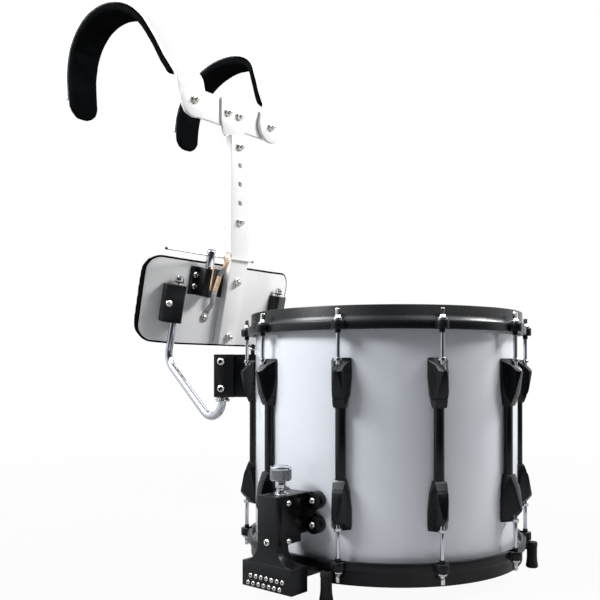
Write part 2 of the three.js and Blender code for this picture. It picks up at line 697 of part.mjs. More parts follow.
// Faces turned outwards, judged by the enclosed volume.
function solidSide(geometry) {
  const spots = geometry.attributes.position;
  const corner = (i) => new THREE.Vector3().fromBufferAttribute(spots, geometry.index.getX(i));
  let volume = 0;
  for (let i = 0; i < geometry.index.count; i += 3) {
    volume += corner(i).dot(corner(i + 1).cross(corner(i + 2)));
  }
  if (volume < 0) geometry.setIndex(Array.from(geometry.index.array).reverse());
  return geometry;
}

// Cushion section as shares of half width and thickness: flat against its board, crowned outside.
const cushionShares = [
  [0.94, 0], [1, 0.3], [0.98, 0.62], [0.88, 0.86], [0.6, 0.97], [0, 1],
  [-0.6, 0.97], [-0.88, 0.86], [-0.98, 0.62], [-1, 0.3], [-0.94, 0],
];

function cushionRing(place, wide, thick, halfWidth, wall) {
  return cushionShares.map(([w, t]) => place.clone()
    .addScaledVector(wide, w * halfWidth).addScaledVector(thick, t * wall));
}

// Share of the full width left at a distance from a round end.
function endShare(distance, radius) {
  const gone = Math.max(0, 1 - distance / radius);
  return Math.sqrt(1 - gone * gone);
}

const tipShares = [0.04, 0.12, 0.3, 0.6, 1];

function bellyPadGeometry() {
  const reach = halfPlate + pad.margin;
  const corner = plate.corner + pad.margin;
  const tall = plate.height / 2 + pad.margin;
  const plan = wingPlan().map(([x, z]) => new THREE.Vector3(x, 0, z - plate.wall - clearance));
  const end = plan[plan.length - 1].clone();
  const lean = end.clone().sub(plan[plan.length - 2]).normalize();
  const sides = plan.slice(1, -1);
  const tips = tipShares.map((share) => share * corner);
  const right = tips.map((inset) => end.clone().addScaledVector(lean, pad.margin - inset));
  const left = right.map((point) => new THREE.Vector3(-point.x, 0, point.z));
  const spots = [...left, ...sides, ...right.reverse()];
  const rings = spots.map((spot) => {
    const inset = (reach - Math.abs(spot.x)) / Math.cos(wingSlope);
    const height = tall - corner * (1 - endShare(inset, corner));
    const thin = pad.wall * (1 - pad.sideDraw / pad.wall * (1 - endShare(inset, corner)));
    return cushionRing(spot, new THREE.Vector3(0, 1, 0), new THREE.Vector3(0, 0, -1), height, thin);
  });
  return onPlate(loft(rings));
}

// The upright: tilted along the plate at its foot, then straight up, with its row of square holes.
const faceSlope = Math.tan(tilt);
const spineBack = plateFront - (spine.bendZ - platePlace.centre) * faceSlope - clearance;
const spineFront = spineBack - spine.depth / Math.cos(tilt);

function pinHeight(index) {
  return spine.top - pin.inset - index * pin.pitch;
}

function spineGeometry() {
  const footBack = platePoint(0, spine.lowEnd, clearance * Math.cos(tilt));
  const footFront = platePoint(0, spine.lowEnd, clearance * Math.cos(tilt) + spine.depth);
  const outline = [
    [footBack.y, footBack.z], [spineBack, spine.bendZ], [spineBack, spine.top],
    [spineFront, spine.top], [spineFront, spine.bendZ], [footFront.y, footFront.z],
  ];
  const body = sidePlane(slab(outline, spine.width));
  const spineMiddle = spineBack - spine.depth / 2;
  const holes = [];
  const heads = [];
  for (let i = 0; i < pin.count; i += 1) {
    const isBolted = i === 0 || i === pin.count - 1;
    if (isBolted) heads.push(forwardDome(bolt, 0, spineFront, pinHeight(i)));
    else holes.push(box(pin.hole, spine.depth * 2, pin.hole).translate(0, spineMiddle, pinHeight(i)));
  }
  const headSeat = spine.depth + clearance;
  const plateHead = (rise) => onPlate(dome(bolt).translate(0, rise, headSeat));
  const plateHeads = Object.values(plateBolts).map(plateHead);
  return join(cut(body, ...holes), ...heads, ...plateHeads);
}

// The T: a stem behind the upright, its head, and the cross plate the straps hang on.
const headFront = spineBack + clearance;
const yokeFront = headFront + tBar.wall;

function tBarGeometry() {
  const bottom = spine.top - tBar.stemLength;
  const headBottom = spine.top + tBar.headGap;
  const top = spine.top + tBar.rise;
  const stemHeight = headBottom - bottom + overrun;
  const shank = box(tBar.stemWidth, tBar.wall, stemHeight);
  shank.translate(0, headFront + tBar.wall / 2, bottom + stemHeight / 2);
  const head = box(tBar.headWidth, tBar.wall, top - headBottom);
  head.translate(0, headFront + tBar.wall / 2, (top + headBottom) / 2);
  const face = roundedRectangle(yoke.width, yoke.height, yoke.corner, plate.cornerSteps);
  const cross = frontPlane(slab(face, yoke.wall)).translate(0, yokeFront + yoke.wall / 2, yokeCentre);
  const heads = [-1, 1].map((side) => forwardDome(bolt, side * tBar.boltSpread, headFront, yokeCentre));
  return join(shank, head, cross, ...heads);
}

// A shoulder strap's middle line: shares of its splay, reach and rise, from its pivot bolt on.
const strapShares = [
  [0, 0, 0], [0.106, 0, 0.09], [0.235, 0, 0.2], [0.33, 0.03, 0.295], [0.404, 0.062, 0.383],
  [0.553, 0.121, 0.575], [0.766, 0.199, 0.778], [0.915, 0.32, 0.922], [1, 0.517, 1], [0.979, 0.728, 0.958],
  [0.872, 0.904, 0.778], [0.766, 0.981, 0.551], [0.681, 1, 0.323], [0.638, 1, 0.084],
];
const strapDepth = yokeFront - strap.air - strap.wall / 2;

function strapCurve(side) {
  const points = strapShares.map(([x, y, z]) => new THREE.Vector3(
    side * (yoke.pivotSpread + x * strap.splay),
    strapDepth + y * strap.reach,
    yokeCentre + z * strap.rise));
  return new THREE.CatmullRomCurve3(points);
}

function strapStation(curve, share) {
  const place = curve.getPointAt(share);
  const tangent = curve.getTangentAt(share);
  const wide = across.clone().addScaledVector(tangent, -tangent.dot(across)).normalize();
  return { place, wide, inside: new THREE.Vector3().crossVectors(wide, tangent).negate() };
}

function strapGeometry(side) {
  const curve = strapCurve(side);
  const rings = [];
  for (let i = 0; i <= strap.lastStation; i += 1) {
    const { place, wide, inside } = strapStation(curve, i / strap.stations);
    const w = strap.width / 2;
    const t = strap.wall / 2;
    const corners = [[w, t], [-w, t], [-w, -t], [w, -t]];
    rings.push(corners.map(([x, y]) => place.clone().addScaledVector(wide, x).addScaledVector(inside, y)));
  }
  const pivot = cylinder(strap.width / 2, strap.wall, 2 * lug.sides).rotateX(Math.PI / 2);
  pivot.translate(side * yoke.pivotSpread, strapDepth, yokeCentre);
  const head = forwardDome(bolt, side * yoke.pivotSpread, strapDepth - strap.wall / 2, yokeCentre);
  return join(loft(rings), pivot, head);
}

// The pad shares the strap's stations, with closer ones at both of its round ends.
const padStartShares = [-0.2, -0.12, 0];
const padEndShares = [0.3, 0.7, 1.1, 1.4, 1.65, 1.82, 1.94, 2];

function shoulderPadGeometry(side) {
  const curve = strapCurve(side);
  const length = curve.getLength();
  const lift = strap.wall / 2 + shoulderPad.air;
  const steps = padStartShares.map((step) => shoulderPad.firstStation + step);
  for (let i = shoulderPad.firstStation + 1; i <= strap.lastStation; i += 1) steps.push(i);
  steps.push(...padEndShares.map((step) => strap.lastStation + step));
  const rings = steps.map((station) => {
    const share = station / strap.stations;
    const { place, wide, inside } = strapStation(curve, share);
    const fromEnd = (1 - share) * length + clearance;
    const fromStart = ((station - steps[0]) / strap.stations) * length + shoulderPad.wall / 2;
    const narrow = endShare(fromEnd, shoulderPad.endLength);
    const thin = endShare(Math.min(fromEnd, fromStart), shoulderPad.wall);
    const origin = place.addScaledVector(inside, lift);
    return cushionRing(origin, wide, inside, (shoulderPad.width / 2) * narrow, shoulderPad.wall * thin);
  });
  return loft(rings);
}

// A saddle on the plate with a slotted bore for the key, and two screws on its left flange.
function holderGeometry() {
  const tall = holder.top - holder.bottom;
  const middle = (holder.top + holder.bottom) / 2;
  const flange = box(holder.right - holder.left, tall, holder.wall);
  flange.translate((holder.left + holder.right) / 2, middle, clearance + holder.wall / 2);
  const cheek = box(holder.saddle * 2, tall, key.out - clearance);
  cheek.translate(key.across, middle, (key.out + clearance) / 2);
  const barrel = standing(holder.saddle, holder.bottom, holder.top, holder.sides);
  barrel.translate(key.across, 0, key.out);
  const bore = standing(key.shaft + 2 * clearance, key.bottom - overrun, holder.top + overrun, key.sides);
  const slot = box(holder.slot, tall - 2 * holder.wall, holder.saddle);
  slot.translate(key.across, middle + holder.wall * 2, key.out + holder.saddle / 2);
  const body = cut(join(flange, cheek, barrel), bore.translate(key.across, 0, key.out), slot);
  const heads = [-1, 1].map((end) => dome(buttonScrew)
    .translate(holder.left + holder.screwInset, middle + end * holder.screwInset, clearance + holder.wall));
  return onPlate(join(body, ...heads));
}

function keyGeometry() {
  const body = join(
    standing(key.head, key.headBottom, key.top, key.sides),
    standing(key.shaft, key.bottom, key.headBottom + overrun, key.sides),
  ).translate(key.across, 0, key.out);
  const hole = cylinder(tommy.radius + 2 * clearance, 2 * (key.head + overrun), tommy.sides);
  hole.rotateY(Math.PI / 2);
  return onPlate(cut(body, hole.translate(key.across, tommy.up, key.out)));
}

function tommyGeometry() {
  const bar = cylinder(tommy.radius, tommy.length, tommy.sides).rotateY(Math.PI / 2);
  return onPlate(bar.translate(tommy.shift, tommy.up, key.out));
}

// The sprung latch as shares of its lean, its length and its stand-off, from its eyelet to its ring.
const latchShares = [
  [0.17, 0.06, 0], [0.31, 0.115, 0], [0.45, 0.25, 0.39], [0.44, 0.44, 0.44], [0.86, 0.72, 0.49],
  [0.89, 0.85, 0.89], [0.96, 0.955, 1], [1, 1, 1],
];

function latchGeometry() {
  const seat = latch.wall;
  const t = latch.wall / 2;
  const w = latch.width / 2;
  const line = latchShares.map(([lean, rise, reach]) => new THREE.Vector3(
    latch.left + lean * latchReach.lean,
    latch.low + rise * latchReach.length,
    seat + reach * latchReach.standOff));
  const section = [[w, t], [-w, t], [-w, -t], [w, -t]];
  const rings = line.map((spot) =>
    section.map(([x, z]) => new THREE.Vector3(spot.x + x, spot.y, spot.z + z)));
  const tip = line[line.length - 1];
  const eyelet = cylinder(latch.eyelet, latch.wall, latch.sides).translate(latch.left, latch.low, seat);
  const loop = [tip.x, tip.y + latch.ring / 2, tip.z];
  const ring = cylinder(latch.ring, latch.wall, latch.sides).translate(...loop);
  const hole = cylinder(latch.hole, latch.wall + 2 * overrun, latch.sides).translate(...loop);
  const head = dome(screw).translate(latch.left, latch.low, seat + t);
  return onPlate(join(cut(join(loft(rings), ring), hole), eyelet, head));
}

function makeCarrier() {
  for (const [label, side] of [['left', -1], ['right', 1]]) {
    add(`receptor_${label}`, receptorGeometry(-side), material.black, side * hangAngle);
    add(`j_rod_${label}`, jRodGeometry(side), material.chrome);
    add(`rod_clamp_${label}`, clampGeometry(side), material.black);
    add(`shoulder_strap_${label}`, strapGeometry(side), material.white);
    add(`shoulder_pad_${label}`, shoulderPadGeometry(side), material.foam);
  }
  add('belly_plate', plateGeometry(), material.white);
  add('belly_pad', bellyPadGeometry(), material.foam);
  add('spine_bar', spineGeometry(), material.white);
  add('t_bar', tBarGeometry(), material.white);
  add('key_holder', holderGeometry(), material.black);
  add('t_key', keyGeometry(), material.chrome);
  add('tommy_bar', tommyGeometry(), material.chrome);
  add('latch_strip', latchGeometry(), material.steel);
}

makeShell();
makeHeadsAndHoops();
makeRods();
makeLugs();
makeFeet();
makeStrainerBase();
makeStrainerSlide();
makeStrainerKnob();
makeStrands();
makeCarrier();

export default drum;
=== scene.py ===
"""Marching snare drum on its shoulder carrier: fine shapes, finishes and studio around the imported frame.

Shapes are worked out in millimetres from the middle of the shell and moved to the frame's metres at the end.
"""

import math

import bmesh
import bpy
from bpy.props import FloatProperty, FloatVectorProperty, IntProperty, PointerProperty
from mathutils import Matrix, Vector


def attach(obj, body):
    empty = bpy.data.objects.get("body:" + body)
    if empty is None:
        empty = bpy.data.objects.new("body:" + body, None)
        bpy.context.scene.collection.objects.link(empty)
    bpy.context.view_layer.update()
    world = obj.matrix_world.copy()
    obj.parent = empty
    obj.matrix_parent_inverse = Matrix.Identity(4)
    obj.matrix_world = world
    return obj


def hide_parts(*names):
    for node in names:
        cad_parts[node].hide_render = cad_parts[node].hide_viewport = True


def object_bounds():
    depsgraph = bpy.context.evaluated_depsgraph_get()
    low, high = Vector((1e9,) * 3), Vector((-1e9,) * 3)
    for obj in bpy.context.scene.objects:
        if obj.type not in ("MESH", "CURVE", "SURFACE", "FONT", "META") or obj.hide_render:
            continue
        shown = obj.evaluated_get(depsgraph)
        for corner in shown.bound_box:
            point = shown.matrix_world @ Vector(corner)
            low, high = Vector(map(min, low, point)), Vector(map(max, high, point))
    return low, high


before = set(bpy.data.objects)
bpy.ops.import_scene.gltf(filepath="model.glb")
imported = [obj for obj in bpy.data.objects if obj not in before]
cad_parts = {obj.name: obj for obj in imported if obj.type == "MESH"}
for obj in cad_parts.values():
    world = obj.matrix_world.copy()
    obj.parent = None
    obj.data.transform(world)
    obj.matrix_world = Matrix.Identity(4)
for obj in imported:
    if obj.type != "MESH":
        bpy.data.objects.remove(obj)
cad_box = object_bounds()

bl_info = {
    "name": "Marching snare drum and carrier",
    "version": (1, 0, 0),
    "blender": (4, 5, 0),
    "location": "View3D > Sidebar > Drum",
    "description": "Builds a marching snare drum, its shoulder carrier and a small studio",
    "category": "Object",
}

MM = 0.001
PLAYING = 153.3
TO_FRAME = Matrix.Scale(MM, 4) @ Matrix.Translation((0, 0, -PLAYING))
TOUCH = 0.002
ROUND = 40
SMOOTH_ROUND = 256
SHARP_TURN = math.radians(24)
HEAD_RISE = 8
QUARTER = math.pi / 2
UP = Vector((0, 0, 1))
ACROSS = Vector((1, 0, 0))
AHEAD = Vector((0, -1, 0))
SIDES = {"left": -1, "right": 1}
STRAINER_TURN = Matrix.Rotation(-QUARTER, 4, "Z")
UNDER = Matrix.Rotation(math.pi, 4, "Y")
PULLED = Matrix.Translation((0, 0, -2.3))


# Sizes and colours that a user would change.


def length(name, description, default):
    return FloatProperty(
        name=name, description=description, default=default, min=0, unit="LENGTH", precision=4
    )


def colour(name, description, default):
    return FloatVectorProperty(
        name=name, description=description, default=default, size=3, min=0, max=1, subtype="COLOR"
    )


class DrumSizes(bpy.types.PropertyGroup):
    shell_radius: length("Shell radius", "Outer radius of the shell", 0.178)
    shell_depth: length("Shell depth", "Height of the shell between its bearing edges", 0.305)
    shell_wall: length("Shell wall", "Thickness of the shell", 0.007)
    head_radius: length("Head radius", "Outer radius of the head's flesh hoop", 0.1825)
    band_radius: length("Hoop band radius", "Outer radius of the hoop's wide band", 0.1888)
    rim_radius: length("Rim radius", "Outer radius of the hoop's narrow rim", 0.184)
    rod_circle: length("Rod circle", "Radius of the circle the tension rods stand on", 0.192)
    rod_radius: length("Rod radius", "Radius of a tension rod", 0.0025)
    rail_width: length("Lug tube width", "Width of the oval tube between two lug casings", 0.0126)
    rail_depth: length("Lug tube depth", "Depth of the oval tube between two lug casings", 0.0099)
    knob_radius: length("Strainer knob radius", "Radius of the knurled knob", 0.01275)
    wire_radius: length("Wire radius", "Radius of a snare wire", 0.0008)
    rod_count: IntProperty(name="Rods", description="Tension rods on each side", default=10, min=4, max=16)
    wire_count: IntProperty(name="Wires", description="Snare wires", default=14, min=4, max=24)


class CarrierSizes(bpy.types.PropertyGroup):
    hook_radius: length("Hook radius", "Radius of the bent rods", 0.006)
    plate_width: length("Plate width", "Width of the belly plate", 0.318)
    plate_height: length("Plate height", "Height of the belly plate", 0.129)
    plate_wall: length("Plate wall", "Thickness of the belly plate", 0.003)
    strap_width: length("Strap width", "Width of a shoulder strap", 0.054)
    strap_wall: length("Strap wall", "Thickness of a shoulder strap", 0.006)
    pad_width: length("Pad width", "Width of a shoulder pad", 0.057)
    pad_wall: length("Pad wall", "Thickness of a shoulder pad", 0.013)
    key_radius: length("Key head radius", "Radius of the tuning key's head", 0.007)
    key_bar_radius: length("Key bar radius", "Radius of the sliding bar through the key", 0.002)


class Colours(bpy.types.PropertyGroup):
    lacquer: colour("Lacquer", "White gloss lacquer of the shell", (0.80, 0.825, 0.88))
    film: colour("Head film", "Coated film of the upper head", (0.84, 0.84, 0.82))
    cast_black: colour("Cast black", "Satin black coating of hoops and brackets", (0.0045, 0.005, 0.006))
    gloss_black: colour("Lug black", "Semi-gloss black of the lug casings and tubes", (0.003, 0.0035, 0.0045))
    chrome: colour("Chrome", "Plated rods, screws and knob", (0.62, 0.63, 0.67))
    # The knurl is the same plating as the chrome and is rougher; its darker colour is painted shade of the
    # fine knurled grooves.
    knurl: colour("Knurl", "Darker plating in the knob's knurl", (0.30, 0.30, 0.32))
    nickel: colour("Nickel", "Slightly warm plating of the bolt heads", (0.74, 0.72, 0.68))
    # The warm strip colour is a painted warm reflection on plated steel parts (the latch strip, its ring and
    # the key's slot strip), not a copper metal.
    copper: colour("Warm strip", "Warm side of the sprung latch", (0.66, 0.44, 0.30))
    steel: colour("Steel", "Bare steel of the wires and the latch", (0.42, 0.42, 0.43))
    rubber: colour("Rubber", "Rubber feet", (0.006, 0.006, 0.0065))
    white_coat: colour("White coat", "White powder coat of the carrier", (0.84, 0.84, 0.84))
    foam: colour("Foam", "Black closed-cell foam of the pads", (0.005, 0.0055, 0.006))
    floor: colour("Floor", "Pale studio floor", (0.45, 0.45, 0.46))


def drum_size(name):
    return getattr(bpy.context.scene.drum_sizes, name) / MM


def carrier_size(name):
    return getattr(bpy.context.scene.carrier_sizes, name) / MM


# Fixed sizes in millimetres, heights from the middle of the shell.

BAND = {"bottom": 135.1, "top": 145.5, "inner": 182.8}
RIM = {"top": 163.3, "inner": 181.0, "seat": 150.2, "slope": 5.7, "ledge": 186.3}
# The black stub under each ear is painted shadow of the hoop on the rod, with the black ear mirrored in it:
# painted shadow and painted reflection.
EAR = {"radius": 8.0, "shadow_stub": 3.3, "shadow_stub_drop": 4.5}
GATE = {"size": (20, 66, 14.2), "out": 180.3, "height": -157.3}
ROD = {"bottom": 88.0, "seat": 145.8, "washer": 6.0, "key": 4.8, "key_top": 158.8}
LUG = {"top": 100.0, "casing": 58.0, "seat": 178.3}
FOOT = {"radius": 198.2, "shift": -12.0, "seat": -145.8, "sole": -180.3}
WIRE = {"pitch": 4.1, "shift": -2.05}
STRAINER = {"top": -59.0, "bottom": -115.5, "width": 30.0, "front": 238.6, "back": 230.6, "knob": 214.6}
CHEST = {"width": 77.0, "front": 239.8, "back": 211.8, "top": -137.0, "bottom": -166.7}
RECEPTOR = {"bottom": 47.5, "height": 61.0, "hang": 231.27, "turn": math.radians(148.743)}
HOOK = {"spread": 120.0, "depth": 197.7, "tip": 97.5, "low": -9.0, "stem": 113.0, "out": 5.79}
TILT = math.radians(13)
PLATE = Matrix((
    (1, 0, 0, 0),
    (0, -math.sin(TILT), -math.cos(TILT), 312.9),
    (0, math.cos(TILT), -math.sin(TILT), 192.6),
    (0, 0, 0, 1),
))
WING_SLOPE = math.radians(17.70)
SPINE = {"front": 281.86, "bolts": (451.5, 328.3), "plate_bolts": (42.6, -48.5)}
YOKE = {"front": 300.53, "head": 296.53, "centre": 507.5, "pivot": 87.0, "bolts": 13.0}
KEY = {"across": -66.5, "out": 16.5, "bar": 78.8, "shift": -65.0}


# Shape tools: each returns a bmesh, and each finishes with its faces pointing out.


def tidy(form):
    bmesh.ops.remove_doubles(form, verts=form.verts, dist=TOUCH)
    bmesh.ops.recalc_face_normals(form, faces=form.faces)
    return form


def everything(form):
    return [*form.verts, *form.edges, *form.faces]


def fill_holes(form):
    bmesh.ops.holes_fill(form, edges=[edge for edge in form.edges if edge.is_boundary], sides=0)


def soften(form, width, segments=2, turn=SHARP_TURN, chosen=None):
    edges = [
        edge for edge in form.edges
        if edge.is_manifold and edge.calc_face_angle() > turn and (chosen is None or chosen(edge))
    ]
    bmesh.ops.bevel(
        form, geom=edges, offset=width, offset_type="OFFSET", segments=segments, profile=0.5,
        affect="EDGES", clamp_overlap=True, material=-1,
    )
    return form


def lathe(outline, steps=ROUND, ring=False, edge=0.0, place=None):
    form = bmesh.new()
    spots = [form.verts.new((radius, 0, height)) for radius, height in outline]
    pairs = list(zip(spots, spots[1:])) + ([(spots[-1], spots[0])] if ring else [])
    edges = [form.edges.new(pair) for pair in pairs]
    bmesh.ops.spin(
        form, geom=spots + edges, cent=(0, 0, 0), axis=(0, 0, 1), angle=math.tau, steps=steps, use_merge=True
    )
    tidy(form)
    if edge:
        soften(form, edge)
    if place:
        form.transform(place)
    return form


def block(size, centre, edge=0.6, place=None, segments=2):
    form = bmesh.new()
    bmesh.ops.create_cube(form, size=1, matrix=Matrix.Translation(centre) @ Matrix.Diagonal((*size, 1)))
    soften(form, edge, segments)
    if place:
        form.transform(place)
    return form


def drum_block(width, inner, outer, bottom, top, edge=0.6):
    size = (width, outer - inner, top - bottom)
    return block(size, (0, -(inner + outer) / 2, (top + bottom) / 2), edge)


def pillar(radius, bottom, top, sides=ROUND, edge=0.4, place=None):
    form = bmesh.new()
    bmesh.ops.create_cone(
        form, cap_ends=True, segments=sides, radius1=radius, radius2=radius, depth=top - bottom,
        matrix=Matrix.Translation((0, 0, (top + bottom) / 2)),
    )
    if edge:
        soften(form, edge)
    if place:
        form.transform(place)
    return form


def prism(outline, depth, place=None, edge=0.0, segments=2):
    form = bmesh.new()
    base = form.faces.new([form.verts.new((x, y, -depth / 2)) for x, y in outline])
    grown = bmesh.ops.extrude_face_region(form, geom=[base])["geom"]
    raised = [part for part in grown if isinstance(part, bmesh.types.BMVert)]
    bmesh.ops.translate(form, verts=raised, vec=(0, 0, depth))
    tidy(form)
    if edge:
        soften(form, edge, segments)
    if place:
        form.transform(place)
    return form


def sweep(section, stations):
    form = bmesh.new()
    start = form.faces.new([form.verts.new(stations[0] @ Vector((x, y, 0))) for x, y in section])
    face = start
    for here, there in zip(stations, stations[1:]):
        grown = bmesh.ops.extrude_face_region(form, geom=[face])["geom"]
        if face.is_valid and face != start:
            bmesh.ops.delete(form, geom=[face], context="FACES_ONLY")
        face = next(part for part in grown if isinstance(part, bmesh.types.BMFace))
        moved = [part for part in grown if isinstance(part, bmesh.types.BMVert)]
        bmesh.ops.transform(form, matrix=there @ here.inverted(), verts=moved)
    bmesh.ops.recalc_face_normals(form, faces=form.faces)
    return form


def circle(radius, sides=ROUND):
    turns = [math.tau * i / sides for i in range(sides)]
    return [(radius * math.cos(turn), radius * math.sin(turn)) for turn in turns]


def rounded_box(width, height, radius, steps=8):
    points = []
    for sx, sy, quarter in ((1, 1, 0), (-1, 1, 1), (-1, -1, 2), (1, -1, 3)):
        for i in range(steps + 1):
            angle = (quarter + i / steps) * QUARTER
            x = sx * (width / 2 - radius) + radius * math.cos(angle)
            points.append((x, sy * (height / 2 - radius) + radius * math.sin(angle)))
    return points


def gathered(forms):
    whole = bmesh.new()
    for form in forms:
        part = bpy.data.meshes.new("part")
        form.to_mesh(part)
        form.free()
        whole.from_mesh(part)
        bpy.data.meshes.remove(part)
    return whole


def placed(form, matrices):
    part = bpy.data.meshes.new("part")
    whole = bmesh.new()
    for matrix in matrices:
        copy = form.copy()
        copy.transform(matrix)
        copy.to_mesh(part)
        copy.free()
        whole.from_mesh(part)
    bpy.data.meshes.remove(part)
    form.free()
    return whole


def around(count=None):
    count = count or bpy.context.scene.drum_sizes.rod_count
    return [Matrix.Rotation(math.tau * i / count, 4, "Z") for i in range(count)]


def facing(place, axis):
    turn = UP.rotation_difference(Vector(axis)).to_matrix().to_4x4()
    return Matrix.Translation(place) @ turn


def copied(node, heads=(), edge=0.6, segments=2, chosen=None):
    """A merged copy of a CAD node in millimetres, without the coarse screw heads it carries."""
    form = bmesh.new()
    form.from_mesh(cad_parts[node].data)
    form.transform(TO_FRAME.inverted())
    bmesh.ops.remove_doubles(form, verts=form.verts, dist=TOUCH)
    for place, axis, radius, *rises in heads:
        place, axis = Vector(place), Vector(axis).normalized()
        highest = rises[0] if rises else HEAD_RISE
        faces = []
        for face in form.faces:
            offset = face.calc_center_median() - place
            rise = offset.dot(axis)
            if 0.02 < rise < highest and (offset - axis * rise).length < radius * 1.02:
                faces.append(face)
        bmesh.ops.delete(form, geom=faces, context="FACES")
        fill_holes(form)
    bmesh.ops.dissolve_limit(
        form, angle_limit=math.radians(1), verts=form.verts, edges=form.edges, use_dissolve_boundaries=False
    )
    bmesh.ops.recalc_face_normals(form, faces=form.faces)
    if edge:
        soften(form, edge, segments, chosen=chosen)
    return form


def carved(form, cutter):
    """What is left of a form when a cutter is taken out of it."""
    things = []
    for shape in (form, cutter):
        mesh = bpy.data.meshes.new("carved")
        shape.to_mesh(mesh)
        shape.free()
        thing = bpy.data.objects.new("carved", mesh)
        bpy.context.scene.collection.objects.link(thing)
        things.append(thing)
    cut = things[0].modifiers.new("cut", "BOOLEAN")
    cut.object, cut.operation, cut.solver = things[1], "DIFFERENCE", "EXACT"
    depsgraph = bpy.context.evaluated_depsgraph_get()
    result = bmesh.new()
    result.from_mesh(things[0].evaluated_get(depsgraph).to_mesh())
    for thing in things:
        bpy.data.meshes.remove(thing.data)
    bmesh.ops.remove_doubles(result, verts=result.verts, dist=TOUCH)
    return result


def shade(form, turn=SHARP_TURN):
    for face in form.faces:
        face.smooth = True
    for edge in form.edges:
        edge.smooth = edge.is_manifold and edge.calc_face_angle() < turn


def piece(name, parts, body, nodes=()):
    """One object of the model: its forms with their finishes, on a CAD body, in place of CAD nodes."""
    mesh = bpy.data.meshes.new(name)
    whole = bmesh.new()
    finishes = []
    for form, finish in parts:
        if finish not in finishes:
            finishes.append(finish)
            mesh.materials.append(material(finish))
        shade(form)
        for face in form.faces:
            face.material_index = finishes.index(finish)
        part = bpy.data.meshes.new("part")
        form.to_mesh(part)
        form.free()
        whole.from_mesh(part)
        bpy.data.meshes.remove(part)
    whole.transform(TO_FRAME)
    whole.to_mesh(mesh)
    whole.free()
    thing = bpy.data.objects.new(name, mesh)
    bpy.context.scene.collection.objects.link(thing)
    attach(thing, body)
    if nodes:
        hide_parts(*nodes)
    return thing


def button(radius, rise, place, axis):
    """A round button head with a hex socket in its crown."""
    outline = [
        (0, rise * 0.45), (radius * 0.42, rise * 0.45), (radius * 0.46, rise * 0.98), (radius * 0.62, rise),
        (radius * 0.88, rise * 0.72), (radius, rise * 0.35), (radius, -0.2), (0, -0.2),
    ]
    return lathe(outline, 32, edge=0.12, place=facing(place, axis))


def hexagon(radius, bottom, top, place=None):
    return pillar(radius, bottom, top, 6, 0.5, place)


# Finishes: node materials on object coordinates, with the grain in metres.


def node(tree, kind, **values):
    made = tree.nodes.new(kind)
    for key, value in values.items():
        if key in made.inputs:
            made.inputs[key].default_value = value
        else:
            setattr(made, key, value)
    return made


SURFACES = {
    # finish: (colour, roughness, roughness change, metal, grain scale, grain height mm, mottle)
    "lacquer": ("lacquer", 0.22, 0.05, 0.0, 260, 0.004, 0.012),
    "film": ("film", 0.55, 0.06, 0.0, 2400, 0.06, 0.03),
    "cast_black": ("cast_black", 0.29, 0.07, 0.0, 1500, 0.035, 0.25),
    "gloss_black": ("gloss_black", 0.24, 0.06, 0.0, 900, 0.015, 0.2),
    "chrome": ("chrome", 0.10, 0.05, 1.0, 300, 0.002, 0.03),
    "knurl": ("knurl", 0.30, 0.08, 1.0, 600, 0.006, 0.10),
    "nickel": ("nickel", 0.20, 0.08, 1.0, 500, 0.006, 0.06),
    # The next finish paints a warm reflection onto plated steel; it is not a separate metal.
    "copper": ("copper", 0.30, 0.10, 1.0, 500, 0.01, 0.12),
    "steel": ("steel", 0.33, 0.10, 1.0, 700, 0.01, 0.08),
    "rubber": ("rubber", 0.72, 0.08, 0.0, 900, 0.05, 0.3),
    "white_coat": ("white_coat", 0.34, 0.06, 0.0, 1100, 0.02, 0.012),
    "foam": ("foam", 0.86, 0.05, 0.0, 1300, 0.12, 0.3),
}
EXTRAS = {
    "lacquer": {"Coat Weight": 0.8, "Coat Roughness": 0.05},
    "film": {"Subsurface Weight": 0.05},
    "cast_black": {"Specular IOR Level": 0.28},
    "gloss_black": {"Specular IOR Level": 0.24, "Coat Weight": 0.12, "Coat Roughness": 0.15},
    "white_coat": {"Specular IOR Level": 0.35, "Coat Weight": 0.1, "Coat Roughness": 0.15},
    "foam": {"Specular IOR Level": 0.0},
    "rubber": {"Specular IOR Level": 0.25, "Sheen Weight": 0.03, "Sheen Roughness": 0.6},
}


